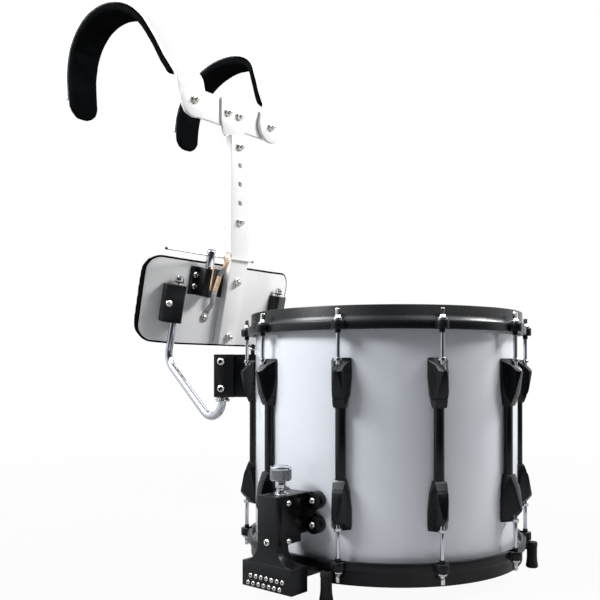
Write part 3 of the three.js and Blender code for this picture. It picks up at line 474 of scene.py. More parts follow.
def material(name):
    made = bpy.data.materials.get("coat_" + name)
    if made:
        return made
    tint, rough, rough_change, metal, scale, height, mottle = SURFACES[name]
    made = bpy.data.materials.new("coat_" + name)
    made.use_nodes = True
    tree = made.node_tree
    surface = tree.nodes["Principled BSDF"]
    surface.inputs["Metallic"].default_value = metal
    for key, value in EXTRAS.get(name, {}).items():
        surface.inputs[key].default_value = value
    base = tuple(getattr(bpy.context.scene.drum_colours, tint))
    place = node(tree, "ShaderNodeTexCoord")
    cloud = node(tree, "ShaderNodeTexNoise", Scale=22.0, Detail=3.0)
    grain = node(tree, "ShaderNodeTexNoise", Scale=float(scale), Detail=2.0)
    tree.links.new(place.outputs["Object"], cloud.inputs["Vector"])
    tree.links.new(place.outputs["Object"], grain.inputs["Vector"])
    ramp = node(tree, "ShaderNodeValToRGB")
    ramp.color_ramp.elements[0].position, ramp.color_ramp.elements[1].position = 0.3, 0.7
    ramp.color_ramp.elements[0].color = (*(c * (1 - mottle) for c in base), 1)
    ramp.color_ramp.elements[1].color = (*(min(1, c * (1 + mottle)) for c in base), 1)
    tree.links.new(cloud.outputs["Fac"], ramp.inputs["Fac"])
    tree.links.new(ramp.outputs["Color"], surface.inputs["Base Color"])
    spread = node(tree, "ShaderNodeMapRange")
    spread.inputs["From Min"].default_value, spread.inputs["From Max"].default_value = 0.3, 0.7
    spread.inputs["To Min"].default_value = rough - rough_change
    spread.inputs["To Max"].default_value = rough + rough_change
    tree.links.new(grain.outputs["Fac"], spread.inputs["Value"])
    tree.links.new(spread.outputs["Result"], surface.inputs["Roughness"])
    bump = node(tree, "ShaderNodeBump", Distance=height * MM, Strength=1.0)
    tree.links.new(grain.outputs["Fac"], bump.inputs["Height"])
    tree.links.new(bump.outputs["Normal"], surface.inputs["Normal"])
    return made


# The drum.


class DRUM_OT_shell(bpy.types.Operator):
    """Lacquered shell with its two bearing edges"""

    bl_idname = "drum.shell"
    bl_label = "Shell"

    def execute(self, context):
        outer = drum_size("shell_radius")
        inner = outer - drum_size("shell_wall")
        half = drum_size("shell_depth") / 2
        edge = 2.5
        outline = [
            (inner, 2 * edge - half), (outer - edge, -half), (outer, edge - half),
            (outer, half - edge), (outer - edge, half), (inner, half - 2 * edge),
        ]
        tube = lathe(outline, SMOOTH_ROUND, ring=True, edge=0.5)
        piece("shell_lacquered", [(tube, "lacquer")], "drum", ["shell"])
        return {"FINISHED"}


class DRUM_OT_heads(bpy.types.Operator):
    """Upper and lower head: film turned down over the bearing edge, and its flesh hoop"""

    bl_idname = "drum.heads"
    bl_label = "Heads"

    def execute(self, context):
        outer = drum_size("head_radius")
        for name, turn, cad, pull in (
            ("upper_head", Matrix(), "batter_head", -PULLED.translation.z),
            ("lower_head", UNDER, "snare_head", 0.0),
        ):
            film = lathe([
                (0, 152.6), (174.5, 152.6), (178.25, 149.5), (178.25, 145.5), (179.0, 145.5),
                (179.0, 149.9), (178.2, 151.7), (176.2, 152.9), (173.5, PLAYING), (0, PLAYING),
            ], SMOOTH_ROUND)
            low, high = 143.3 - pull, 149.6 - pull
            hoop = lathe(
                [(178.6, low), (outer, low), (outer, high), (178.6, high)], SMOOTH_ROUND, ring=True, edge=0.7)
            film.transform(turn)
            hoop.transform(turn)
            piece(name, [(film, "film"), (hoop, "steel")], "drum", [cad])
        return {"FINISHED"}


class DRUM_OT_hoops(bpy.types.Operator):
    """Two cast hoops with an ear at every rod and a short black stub under each ear, which is painted shadow
    and painted reflection of the hoop on the rod; the lower one has the wires' gates
    """

    bl_idname = "drum.hoops"
    bl_label = "Hoops"

    def execute(self, context):
        circle_radius = drum_size("rod_circle")
        band, rim = drum_size("band_radius"), drum_size("rim_radius")
        outline = [
            (BAND["inner"], BAND["bottom"]), (band, BAND["bottom"]), (band, BAND["top"]),
            (RIM["ledge"], BAND["top"]), (rim, BAND["top"] + RIM["slope"]), (rim, RIM["top"]),
            (RIM["inner"], RIM["top"]), (RIM["inner"], RIM["seat"]), (BAND["inner"], RIM["seat"]),
        ]
        stand = Matrix.Translation((0, -circle_radius, 0))
        start, bottom, top = BAND["inner"] + 1, BAND["bottom"], BAND["top"]
        for name, turn, cad in (("upper_hoop", PULLED, "batter_hoop"), ("lower_hoop", UNDER, "snare_hoop")):
            hoop = lathe(outline, SMOOTH_ROUND, ring=True, edge=0.8)
            ear = gathered([
                drum_block(2 * EAR["radius"], start, circle_radius, bottom, top, 0.8),
                pillar(EAR["radius"], bottom, top, edge=0.8, place=stand),
                # Painted shadow: a black stub on the rod just under the ear.
                pillar(EAR["shadow_stub"], bottom - EAR["shadow_stub_drop"], bottom, edge=0.5, place=stand),
            ])
            ears = placed(ear, around())
            hoop.transform(turn)
            ears.transform(turn)
            if cad == "snare_hoop":
                spots = [(side * GATE["out"], 0, GATE["height"]) for side in SIDES.values()]
                gates = gathered([block(GATE["size"], spot, 0.5) for spot in spots])
                hoop = carved(hoop, gates)
            piece(name, [(hoop, "cast_black"), (ears, "cast_black")], "drum", [cad])
        return {"FINISHED"}


class DRUM_OT_rods(bpy.types.Operator):
    """Tension rods with square key heads and domed washers, above and below"""

    bl_idname = "drum.rods"
    bl_label = "Tension rods"

    def execute(self, context):
        stand = Matrix.Translation((0, -drum_size("rod_circle"), 0))
        radius, seat, washer = drum_size("rod_radius"), ROD["seat"], ROD["washer"]
        shaft = pillar(radius, ROD["bottom"], seat, 20, 0.2)
        cup = lathe([
            (0, seat), (washer, seat), (washer, seat + 1.9), (washer * 0.86, seat + 2.1),
            (washer * 0.7, seat + 2.7), (washer * 0.58, seat + 4.0), (washer * 0.5, seat + 5.4),
            (0, seat + 5.4),
        ], 32, edge=0.2)
        crown, key_top = seat + 5, ROD["key_top"]
        key = block((ROD["key"], ROD["key"], key_top - crown), (0, 0, (key_top + crown) / 2), 0.5)
        plated = gathered([shaft, cup])
        count = context.scene.drum_sizes.rod_count
        for name, turn, cad in (("upper_rods", PULLED, "batter_rod"), ("lower_rods", UNDER, "snare_rod")):
            parts = []
            for form, finish in ((plated, "chrome"), (key, "nickel")):
                row = form.copy()
                row.transform(stand)
                row = placed(row, around())
                row.transform(turn)
                parts.append((row, finish))
            piece(name, parts, "drum", [f"{cad}_{i + 1:02d}" for i in range(count)])
        plated.free()
        key.free()
        return {"FINISHED"}


class DRUM_OT_lugs(bpy.types.Operator):
    """Ten lugs: keel-shaped casings above and below a stand-off tube"""

    bl_idname = "drum.lugs"
    bl_label = "Lugs"

    def execute(self, context):
        wide, deep = drum_size("rail_width") / 2, drum_size("rail_depth") / 2
        inner_end = LUG["top"] - LUG["casing"]
        casing = copied("lug_01", edge=0)
        self.facets(casing)
        soften(casing, 0.8, 3)
        self.seams(casing)
        oval = Matrix.Translation((0, -(LUG["seat"] + deep), 0)) @ Matrix.Diagonal((1, deep / wide, 1, 1))
        tube = pillar(wide, -inner_end - 1, inner_end + 1, place=oval)
        swivels, nuts = [], []
        for turn in (Matrix(), UNDER):
            place = turn @ Matrix.Translation((0, -drum_size("rod_circle"), 0))
            nuts.append(lathe([
                (drum_size("rod_radius") + 0.2, 96.4), (4.4, 96.4), (4.4, 99.4), (3.7, 100.2),
                (drum_size("rod_radius") + 0.2, 100.2),
            ], 32, ring=True, place=place))
            swivels.append(pillar(wide + 0.7, inner_end - 0.8, inner_end + 1.2, edge=0.4, place=turn @ oval))
        body = placed(gathered([casing, tube, *swivels]), around())
        rings = placed(gathered(nuts), around())
        count = context.scene.drum_sizes.rod_count
        names = [f"lug_{i + 1:02d}" for i in range(count)]
        piece("lugs", [(body, "gloss_black"), (rings, "chrome")], "drum", names)
        return {"FINISHED"}

    def facets(self, form):
        """Slanted facets from the back corners of each casing's outer end to the sides of its nose."""
        for x_side in SIDES.values():
            for z_side in SIDES.values():
                corner = Vector((x_side * 12.4, -LUG["seat"] - 1, z_side * 98.5))
                nose = Vector((x_side * 6.6, -194, z_side * 87))
                ridge = Vector((x_side * 4.5, -184, z_side * 101))
                normal = (nose - corner).cross(ridge - corner).normalized()
                if normal.dot(Vector((x_side, 0, z_side))) < 0:
                    normal.negate()
                bmesh.ops.bisect_plane(
                    form, geom=everything(form), plane_co=corner, plane_no=normal, clear_outer=True
                )
                fill_holes(form)
        bmesh.ops.recalc_face_normals(form, faces=form.faces)

    def seams(self, form):
        """A fine groove around each casing, above the end that takes the tube."""
        for side in SIDES.values():
            for height in (53.2, 52.8, 52.2, 51.8):
                bmesh.ops.bisect_plane(
                    form, geom=everything(form), plane_co=(0, 0, side * height), plane_no=UP
                )
        for vert in form.verts:
            if 52.1 < abs(vert.co.z) < 52.9:
                vert.co.x *= 0.94
                vert.co.y = (vert.co.y + LUG["seat"]) * 0.95 - LUG["seat"]


class DRUM_OT_feet(bpy.types.Operator):
    """Three rubber feet on short arms under the lower hoop"""

    bl_idname = "drum.feet"
    bl_label = "Feet"

    def execute(self, context):
        seat, sole = FOOT["seat"], FOOT["sole"]
        stand = Matrix.Translation((FOOT["shift"], -FOOT["radius"], 0))
        post = lathe([
            (0, seat), (7.1, seat), (7.3, seat - 5.6), (6.7, seat - 6.6), (6.7, sole + 14), (7.3, sole + 8),
            (8.1, sole + 3.2), (7.9, sole + 1.4), (6.8, sole), (0, sole),
        ], ROUND, edge=0.4, place=stand)
        arm = block((8, 11.6, 3.5), (FOOT["shift"], -192.4, seat - 1.75), 0.8)
        bolt = button(1.7, 1.2, (FOOT["shift"], -188.8, seat - 3.5), (0, 0, -1))
        for index, place in enumerate((-2, 1, 5)):
            turn = Matrix.Rotation(math.tau * place / context.scene.drum_sizes.rod_count, 4, "Z")
            parts = []
            for form, finish in ((post, "rubber"), (arm, "cast_black"), (bolt, "nickel")):
                copy = form.copy()
                copy.transform(turn)
                parts.append((copy, finish))
            piece(f"foot_stand_{index + 1:02d}", parts, "drum", [f"foot_{index + 1:02d}"])
        return {"FINISHED"}


# The snare strainer, shaped facing -Y and turned to -X.


def strainer_piece(name, parts, body, nodes=()):
    for form, _ in parts:
        form.transform(STRAINER_TURN)
    return piece(name, parts, body, nodes)


class DRUM_OT_strainer(bpy.types.Operator):
    """Strainer mount with four lobes, sliding carriage with its wire box, and the lifting knob"""

    bl_idname = "drum.strainer"
    bl_label = "Strainer"

    def execute(self, context):
        self.mount()
        self.carriage(context)
        self.knob()
        return {"FINISHED"}

    def mount(self):
        top, bottom = STRAINER["top"], STRAINER["bottom"]
        lobes = [(side * 25, drop) for side in SIDES.values() for drop in (9, 37.5)]
        body = drum_block(STRAINER["width"], 180, 230.3, bottom, top, 0.8)
        groove = drum_block(12.6, 214.3, 231, bottom - 2, top - 9, 0.3)
        corner = drum_block(40, 170, 196, bottom - 2, bottom + 9.5, 0.3)
        web = drum_block(50, 179, 187.3, top - 43, top - 3.5, 0.8)
        parts = [(carved(body, gathered([groove, corner])), "cast_black"), (web, "cast_black")]
        screws = []
        for x, drop in lobes:
            disc = pillar(11.05, 175, 187.3, 48, 1.0, facing((x, 0, top - drop), (0, -1, 0)))
            parts.append((disc, "cast_black"))
            screws.append(button(4.0, 2.4, (x, -187.3, top - drop), (0, -1, 0)))
        for side in SIDES.values():
            for height in (top - 9, bottom + 3.6):
                screws.append(button(3.7, 2.3, (side * 15, -218.2, height), (side, 0, 0)))
        shoulder = lathe([(6.0, top), (9.5, top), (9.5, top + 0.25), (6.0, top + 0.25)], 32, ring=True,
                         place=Matrix.Translation((0, -STRAINER["knob"], 0)))
        parts.append((shoulder, "nickel"))
        parts += [(screw, "nickel") for screw in screws]
        strainer_piece("strainer_mount", parts, "drum", ["strainer_base"])

    def flare(self):
        wide, top, rise = CHEST["width"] / 2, STRAINER["bottom"], 21.5
        curve = []
        for i in range(13):
            turn = QUARTER * i / 12
            curve.append((wide * (1 - 0.61 * math.cos(turn)), top - rise * math.sin(turn)))
        outline = [(15, top + 0.5)] + curve + [(wide, top - rise - 1)]
        return outline + [(-x, z) for x, z in reversed(outline)]

    def carriage(self, context):
        top, bottom, front, back = STRAINER["top"], STRAINER["bottom"], STRAINER["front"], STRAINER["back"]
        plate = drum_block(STRAINER["width"], back, front, bottom - 1, top, 0.8)
        tongue = drum_block(12, 214.9, back + 1, bottom, top - 17, 0.4)
        turn = Matrix.Translation((0, -(front - 10), 0)) @ Matrix.Rotation(QUARTER, 4, "X")
        flare = prism(self.flare(), 20, turn, 0.9, 3)
        chest = drum_block(CHEST["width"], CHEST["back"], CHEST["front"], CHEST["bottom"], CHEST["top"], 0.9)
        pit = lathe([(0, 38.2), (2.3, 38.2), (2.3, 38.62), (2.9, 38.62), (2.9, 38.0), (0, 38.0)], 24,
                    place=facing((0, -222, -158), (1, 0, 0)))
        screws = [button(4.2, 2.0, (0, -front, bottom + 3.6), (0, -1, 0))]
        # Near-black hexagons in the screw sockets, in the rubber finish: painted shade inside the socket
        # holes.
        socket_shades = [pillar(1.9, 0.4, 1.0, 6, 0, facing((0, -front, bottom + 3.6), (0, -1, 0)))]
        count = context.scene.drum_sizes.wire_count
        for i in range(count):
            x = (i - (count - 1) / 2) * WIRE["pitch"] + WIRE["shift"]
            height = CHEST["top"] - 29.7 * (0.84, 0.55)[i % 2]
            screws.append(button(2.7, 1.15, (x, -CHEST["front"], height), (0, -1, 0)))
            # Painted shade in each wire screw's socket.
            socket_shades.append(pillar(1.3, 0.2, 0.6, 6, 0, facing((x, -CHEST["front"], height), (0, -1, 0))))
        parts = [(form, "cast_black") for form in (plate, tongue, flare, chest, pit)]
        parts += [(screw, "nickel") for screw in screws]
        parts += [(socket, "rubber") for socket in socket_shades]
        strainer_piece("strainer_carriage", parts, "strainer_carriage", ["strainer_slide"])

    def knob(self):
        low = STRAINER["top"] + 0.3
        seat, radius = low + 15.5, drum_size("knob_radius")
        top = seat + 17
        knurled = []
        teeth = 60
        for i in range(teeth * 2):
            turn = math.tau * i / (teeth * 2)
            reach = radius - (0.35 if i % 2 else 0)
            knurled.append((reach * math.cos(turn), reach * math.sin(turn)))
        # The grip's darker knurl colour is painted shade of grooves finer than these teeth.
        grip = prism(knurled, 11.5, Matrix.Translation((0, 0, seat + 7.2)), 0.12, 1)
        cap = lathe([
            (0, top - 0.7), (radius * 0.62, top - 0.7), (radius * 0.68, top), (radius * 0.86, top),
            (radius * 0.97, top - 1.0), (radius * 0.97, top - 4.4), (0, top - 4.4),
        ], 64, edge=0.2)
        skirt = lathe([
            (0, seat), (radius * 0.9, seat), (radius * 0.97, seat + 1.0), (radius * 0.97, seat + 2),
            (0, seat + 2),
        ], 64)
        neck = lathe([
            (0, low), (7.0, low), (7.0, low + 2), (5.2, low + 2.6), (5.2, low + 6.5), (6.6, low + 7.2),
            (6.6, low + 13), (6.0, seat), (0, seat),
        ], ROUND, edge=0.3)
        screw = pillar(2.9, low - 28.4, low, 24, 0.2)
        parts = [(grip, "knurl")] + [(form, "chrome") for form in (cap, skirt, neck, screw)]
        for form, _ in parts:
            form.transform(Matrix.Translation((0, -STRAINER["knob"], 0)))
        strainer_piece("lifting_knob", parts, "tension_knob", ["strainer_knob"])


class DRUM_OT_wires(bpy.types.Operator):
    """Snare wires under the lower head and the butt end that holds them"""

    bl_idname = "drum.wires"
    bl_label = "Snare wires"

    def execute(self, context):
        radius, count = drum_size("wire_radius"), context.scene.drum_sizes.wire_count
        level = -(PLAYING + 0.3 + radius)
        wires = []
        for i in range(count):
            y = -((i - (count - 1) / 2) * WIRE["pitch"] + WIRE["shift"])
            place = Matrix.Translation((0, y, level)) @ Matrix.Rotation(QUARTER, 4, "Y")
            wires.append(pillar(radius, -211.2, 200, 12, 0, place))
        bracket = gathered([
            drum_block(68, 190, 208.9, level - 6.5, level + 6.5, 1.2),
            drum_block(30, 190, 202, level, -95.5, 1.0),
            drum_block(62, 179, 196, -133.9, -95.5, 1.5),
        ])
        screws = [button(3.7, 2.3, (side * 23, -196, -115), (0, -1, 0)) for side in SIDES.values()]
        grips = [button(1.7, 1.0, ((i - 6.5) * WIRE["pitch"], -208.9, level), AHEAD) for i in range(count)]
        parts = [(bracket, "cast_black")] + [(form, "nickel") for form in screws + grips]
        for form, _ in parts:
            form.transform(Matrix.Rotation(QUARTER, 4, "Z"))
        piece("snare_wires", [(gathered(wires), "steel")] + parts, "drum", ["snare_strands"])
        return {"FINISHED"}


# The receptors on the shell and the bent rods that hang in them.


class DRUM_OT_receptors(bpy.types.Operator):
    """Brackets behind the shell that the bent rods hook into, each with a ball-ended lock pin"""

    bl_idname = "drum.receptors"
    bl_label = "Receptors"

    def execute(self, context):
        top = RECEPTOR["bottom"] + RECEPTOR["height"]
        for label, side in SIDES.items():
            lug_side = -side
            turn = Matrix.Rotation(side * RECEPTOR["turn"], 4, "Z")
            heights = [RECEPTOR["bottom"] + share * RECEPTOR["height"] for share in (0.2, 0.83)]
            spots = [(lug_side * 11, 1 - RECEPTOR["hang"], height) for height in heights]
            pin = Matrix.Translation((-4 * lug_side, -187.6, top))
            heads = [(turn @ Vector(spot), turn.to_3x3() @ Vector((lug_side, 0, 0)), 5.0) for spot in spots]
            heads.append((turn @ pin @ Vector((0, 0, 0)), UP, 3.9, 20))
            bracket = copied(f"receptor_{label}", edge=0.9, segments=3)
            post = pillar(3.1, -2, 6.1, 24, 0.3, pin)
            flange = lathe([
                (0, 6), (5.0, 6), (5.2, 6.6), (5.2, 8.2), (4.2, 9), (1.6, 9.2), (1.6, 11), (0, 11),
            ], 32, edge=0.2, place=pin)
            ball = bmesh.new()
            flat = pin @ Matrix.Translation((0, 0, 12.4)) @ Matrix.Diagonal((1, 1, 0.8, 1))
            bmesh.ops.create_uvsphere(ball, u_segments=32, v_segments=16, radius=3.3, matrix=flat)
            upper = button(5.6, 3.4, spots[1], (lug_side, 0, 0))
            lower = button(5.4, 3.2, spots[0], (lug_side, 0, 0))
            parts = [(flange, "chrome"), (post, "gloss_black"), (ball, "gloss_black")]
            parts += [(upper, "nickel"), (lower, "nickel")]
            for form, _ in parts:
                form.transform(turn)
            parts.insert(0, (bracket, "cast_black"))
            piece(f"receptor_bracket_{label}", parts, "drum", [f"receptor_{label}"])
        return {"FINISHED"}


def bent_stations(corners, radii, wide, steps=14):
    """Stations along straight runs joined by round bends, each with its X axis across the bend's plane."""
    spots = [corners[0]]
    for radius, before, corner, after in zip(radii, corners, corners[1:], corners[2:]):
        back, onward = (before - corner).normalized(), (after - corner).normalized()
        half = back.angle(onward) / 2
        start = corner + back * radius / math.tan(half)
        centre = corner + (back + onward).normalized() * radius / math.sin(half)
        axis = back.cross(onward).normalized()
        turn = math.pi - 2 * half
        for i in range(steps + 1):
            spots.append(centre + Matrix.Rotation(-turn * i / steps, 3, axis) @ (start - centre))
    spots.append(corners[-1])
    stations = []
    for i, spot in enumerate(spots):
        ahead = spots[min(i + 1, len(spots) - 1)] - spots[max(i - 1, 0)]
        ahead.normalize()
        across = (wide - wide.dot(ahead) * ahead).normalized()
        stations.append(station(spot, across, ahead))
    return stations


def station(spot, across, ahead, width=1.0, depth=1.0):
    inward = ahead.cross(across)
    turn = Matrix((across * width, inward * depth, ahead)).transposed().to_4x4()
    return Matrix.Translation(spot) @ turn


class DRUM_OT_hooks(bpy.types.Operator):
    """Two chromed rods bent like a J, each with its stop collar"""

    bl_idname = "drum.hooks"
    bl_label = "Bent rods"

    def execute(self, context):
        for label, side in SIDES.items():
            x, stem_x = side * HOOK["spread"], side * HOOK["stem"]
            corners = [
                Vector((x, HOOK["depth"], HOOK["tip"])), Vector((x, HOOK["depth"], HOOK["low"])),
                PLATE @ Vector((stem_x, -92.5, HOOK["out"])), PLATE @ Vector((stem_x, 17, HOOK["out"])),
            ]
            stations = bent_stations(corners, [24.5, 30], ACROSS)
            tube = soften(sweep(circle(carrier_size("hook_radius"), 32), stations), 0.6)
            collar = lathe([
                (0, 41), (10.2, 41), (11, 41.8), (11, 44.2), (9.4, 45), (9.4, 46.9), (0, 46.9),
            ], 48, edge=0.3, place=Matrix.Translation((x, HOOK["depth"], 0)))
            parts = [(tube, "chrome"), (collar, "nickel")]
            piece(f"bent_rod_{label}", parts, "hooks", [f"j_rod_{label}"])
        return {"FINISHED"}


# The belly plate with what is bolted to it.


class DRUM_OT_clamps(bpy.types.Operator):
    """Black clamp blocks that grip the bent rods, with their nuts and screws"""

    bl_idname = "drum.clamps"
    bl_label = "Rod clamps"

    def execute(self, context):
        for label, side in SIDES.items():
            stem = Matrix.Translation((side * HOOK["stem"], 0, HOOK["out"]))
            turn = PLATE @ stem @ Matrix.Rotation(side * WING_SLOPE, 4, "Y")
            up = turn @ Matrix.Rotation(-QUARTER, 4, "X")
            spot = turn @ Vector((side * 14.5, -3, 8))
            axis = turn.to_3x3() @ UP
            heads = [(spot, axis, 5.0), (up @ Vector((0, 0, 26)), up.to_3x3() @ UP, 8.2, 20)]
            body = copied(f"rod_clamp_{label}", heads, edge=0.8, segments=3)
            screw = button(5.2, 3.2, spot, axis)
            parts = [
                (body, "cast_black"),
                (screw, "nickel"),
                (pillar(4.6, 25.5, 30, 32, 0.3, up), "nickel"),
                (pillar(8.0, 30, 31.3, 32, 0.3, up), "gloss_black"),
                (hexagon(6.8, 31.3, 37.8, up), "chrome"),
                (pillar(4.4, 37.8, 40.5, 24, 0.6, up), "chrome"),
            ]
            piece(f"clamp_block_{label}", parts, "carrier", [f"rod_clamp_{label}"])
        return {"FINISHED"}


WING = [(0.0, 0.0), (0.55, 0.0), (0.62, 0.06), (0.67, 0.15), (1.0, 1.0)]
WING_SAG = 19.7


def wing_drop(x):
    """How far the plate's face has bent back at a distance from its middle."""
    share = min(abs(x) / (carrier_size("plate_width") / 2), 1.2)
    for (a, low), (b, high) in zip(WING, WING[1:]):
        if share <= b or b == 1.0:
            return WING_SAG * (low + (high - low) * (share - a) / (b - a))
    return WING_SAG


class DRUM_OT_plate(bpy.types.Operator):
    """White belly plate with rounded corners and bent-back wings"""

    bl_idname = "drum.plate"
    bl_label = "Belly plate"

    def execute(self, context):
        width, height, wall = (carrier_size(key) for key in ("plate_width", "plate_height", "plate_wall"))
        form = bmesh.new()
        form.faces.new([form.verts.new((x, y, 0)) for x, y in rounded_box(width, height, 24, 10)])
        for i in range(-19, 20):
            cut = i * width / 40
            bmesh.ops.bisect_plane(form, geom=everything(form), plane_co=(cut, 0, 0), plane_no=ACROSS)
        grown = bmesh.ops.extrude_face_region(form, geom=list(form.faces))["geom"]
        for part in grown:
            if isinstance(part, bmesh.types.BMVert):
                part.co.z -= wall
        for vert in form.verts:
            vert.co.z -= wing_drop(vert.co.x)
        tidy(form)
        soften(form, 0.8, 3, math.radians(50))
        form.transform(PLATE)
        piece("belly_plate_bent", [(form, "white_coat")], "carrier", ["belly_plate"])
        return {"FINISHED"}


def bolt_head(place, axis, radius=6.8):
    """A hex nut on its washer, with the rounded end of its stud."""
    turn = facing(place, axis)
    washer = lathe([(0, 0), (radius + 0.8, 0), (radius + 0.8, 1.1), (0, 1.1)], 32, edge=0.25, place=turn)
    nut = hexagon(radius, 1.0, 5.6, turn)
    stud = lathe([(0, 5), (3.2, 5), (3.2, 8.6), (2.4, 9.6), (0, 9.8)], 24, edge=0.2, place=turn)
    return gathered([washer, nut, stud])


class DRUM_OT_upright(bpy.types.Operator):
    """White upright with square holes and bolts, bent to follow the plate"""

    bl_idname = "drum.upright"
    bl_label = "Upright"

    def execute(self, context):
        heads = [((0, SPINE["front"], height), (0, -1, 0)) for height in SPINE["bolts"]]
        out = PLATE.to_3x3() @ UP
        heads += [(PLATE @ Vector((0, rise, 14.3)), out) for rise in SPINE["plate_bolts"]]
        body = copied("spine_bar", [(place, axis, 6.2) for place, axis in heads], edge=0)
        soften(body, 1.8, 3, math.radians(60), lambda edge: edge.calc_length() > 60)
        soften(body, 0.3, 1, math.radians(60), lambda edge: 5 < edge.calc_length() < 8)
        parts = [(body, "white_coat")] + [(bolt_head(place, axis), "nickel") for place, axis in heads]
        piece("upright", parts, "carrier", ["spine_bar"])
        return {"FINISHED"}


class DRUM_OT_t_top(bpy.types.Operator):
    """T-shaped top: a stem behind the upright, a tapered head and the cross plate"""

    bl_idname = "drum.t_top"
    bl_label = "T top"

    def execute(self, context):
        flat = Matrix.Rotation(QUARTER, 4, "X")
        upright = Matrix.Translation((0, YOKE["head"] + 2, 0)) @ flat
        level = Matrix.Translation((0, YOKE["front"] + 2.5, YOKE["centre"])) @ flat
        head = prism(
            [(-22, 470), (22, 470), (27, 492), (27, 528), (25, 530), (-25, 530), (-27, 528), (-27, 492)],
            4, upright, 0.6)
        stem = prism([(-18, 318), (18, 318), (18, 471), (-18, 471)], 4, upright, 0.6)
        cross = prism(rounded_box(206, 45, 12, 10), 5, level, 0.8, 3)
        parts = [(form, "white_coat") for form in (head, stem, cross)]
        for side in SIDES.values():
            place = (side * YOKE["bolts"], YOKE["head"], YOKE["centre"])
            parts.append((bolt_head(place, AHEAD), "nickel"))
        piece("t_top", parts, "height_slide", ["t_bar"])
        return {"FINISHED"}


# Shoulder straps and their pads follow one line each.

STRAP_LINE = [
    (0, 0, 0), (0.106, 0, 0.09), (0.235, 0, 0.2), (0.33, 0.03, 0.295), (0.404, 0.062, 0.383),
    (0.553, 0.121, 0.575), (0.766, 0.199, 0.778), (0.915, 0.32, 0.922), (1, 0.517, 1), (0.979, 0.728, 0.958),
    (0.872, 0.904, 0.778), (0.766, 0.981, 0.551), (0.681, 1, 0.323), (0.638, 1, 0.084),
]
STRAP = {"splay": 47.0, "reach": 261.0, "rise": 167.0, "depth": 296.63, "stations": 28, "last": 26}


def strap_points(side, steps=40):
    """Closely spaced points of the strap's middle line, by a centripetal spline through its table."""
    knots = [Vector((
        side * (YOKE["pivot"] + x * STRAP["splay"]),
        STRAP["depth"] + y * STRAP["reach"],
        YOKE["centre"] + z * STRAP["rise"],
    )) for x, y, z in STRAP_LINE]
    knots = [2 * knots[0] - knots[1], *knots, 2 * knots[-1] - knots[-2]]
    points = []
    for a, b, c, d in zip(knots, knots[1:], knots[2:], knots[3:]):
        gaps = [(q - p).length ** 0.5 for p, q in ((a, b), (b, c), (c, d))]
        start = ((b - a) / gaps[0] - (c - a) / (gaps[0] + gaps[1]) + (c - b) / gaps[1]) * gaps[1]
        end = ((c - b) / gaps[1] - (d - b) / (gaps[1] + gaps[2]) + (d - c) / gaps[2]) * gaps[1]
        for i in range(steps):
            t = i / steps
            points.append(
                b * (2 * t ** 3 - 3 * t ** 2 + 1) + start * (t ** 3 - 2 * t ** 2 + t)
                + c * (3 * t ** 2 - 2 * t ** 3) + end * (t ** 3 - t ** 2))
    points.append(knots[-2])
    return points


def strap_station(points, share, lift=0.0, width=1.0, depth=1.0):
    """The station at a share of the line's length; X is across the strap and Y towards the shoulder."""
    runs = [(b - a).length for a, b in zip(points, points[1:])]
    left = min(max(share, 0.0), 1.0) * sum(runs)
    index = 0
    while index < len(runs) - 1 and left > runs[index]:
        left -= runs[index]
        index += 1
    ahead = (points[min(index + 2, len(points) - 1)] - points[max(index - 1, 0)]).normalized()
    spot = points[index].lerp(points[index + 1], left / runs[index])
    if share < 0:
        spot = points[0] + ahead * share * sum(runs)
    across = (Vector((1, 0, 0)) - ahead.x * ahead).normalized()
    inside = ahead.cross(across)
    return station(spot + inside * lift, across, ahead, width, depth)


class DRUM_OT_straps(bpy.types.Operator):
    """Two white shoulder straps, bent from flat bar with rounded feet"""

    bl_idname = "drum.straps"
    bl_label = "Shoulder straps"

    def execute(self, context):
        width, wall = carrier_size("strap_width"), carrier_size("strap_wall")
        section = rounded_box(width, wall, 1.3, 3)
        for label, side in SIDES.items():
            points = strap_points(side)
            last = STRAP["last"] / STRAP["stations"]
            stations = [strap_station(points, last * i / 110) for i in range(111)]
            stations.append(strap_station(points, last + 0.001, 0, 0.985, 0.72))
            bar = sweep(section, stations)
            hub = Vector((side * YOKE["pivot"], STRAP["depth"], YOKE["centre"]))
            pivot = pillar(width / 2, -wall / 2 - 0.1, wall / 2 + 0.1, 64, 1.3, facing(hub, -AHEAD))
            bolt = bolt_head(hub + AHEAD * wall / 2, AHEAD)
            parts = [(bar, "white_coat"), (pivot, "white_coat"), (bolt, "nickel")]
            piece(f"strap_bar_{label}", parts, f"strap_{label}", [f"shoulder_strap_{label}"])
        return {"FINISHED"}


# Foam pads: a crowned form that is swollen by a short cloth simulation.

CUSHION = [
    (0.94, 0), (1, 0.3), (0.98, 0.62), (0.88, 0.86), (0.6, 0.97), (0.3, 1), (0, 1), (-0.3, 1),
    (-0.6, 0.97), (-0.88, 0.86), (-0.98, 0.62), (-1, 0.3), (-0.94, 0), (-0.5, 0), (0, 0), (0.5, 0),
]


SWELL_STEPS = 20


def round_end(distance, radius):
    gone = max(0.0, 1 - distance / radius)
    return math.sqrt(1 - gone * gone)


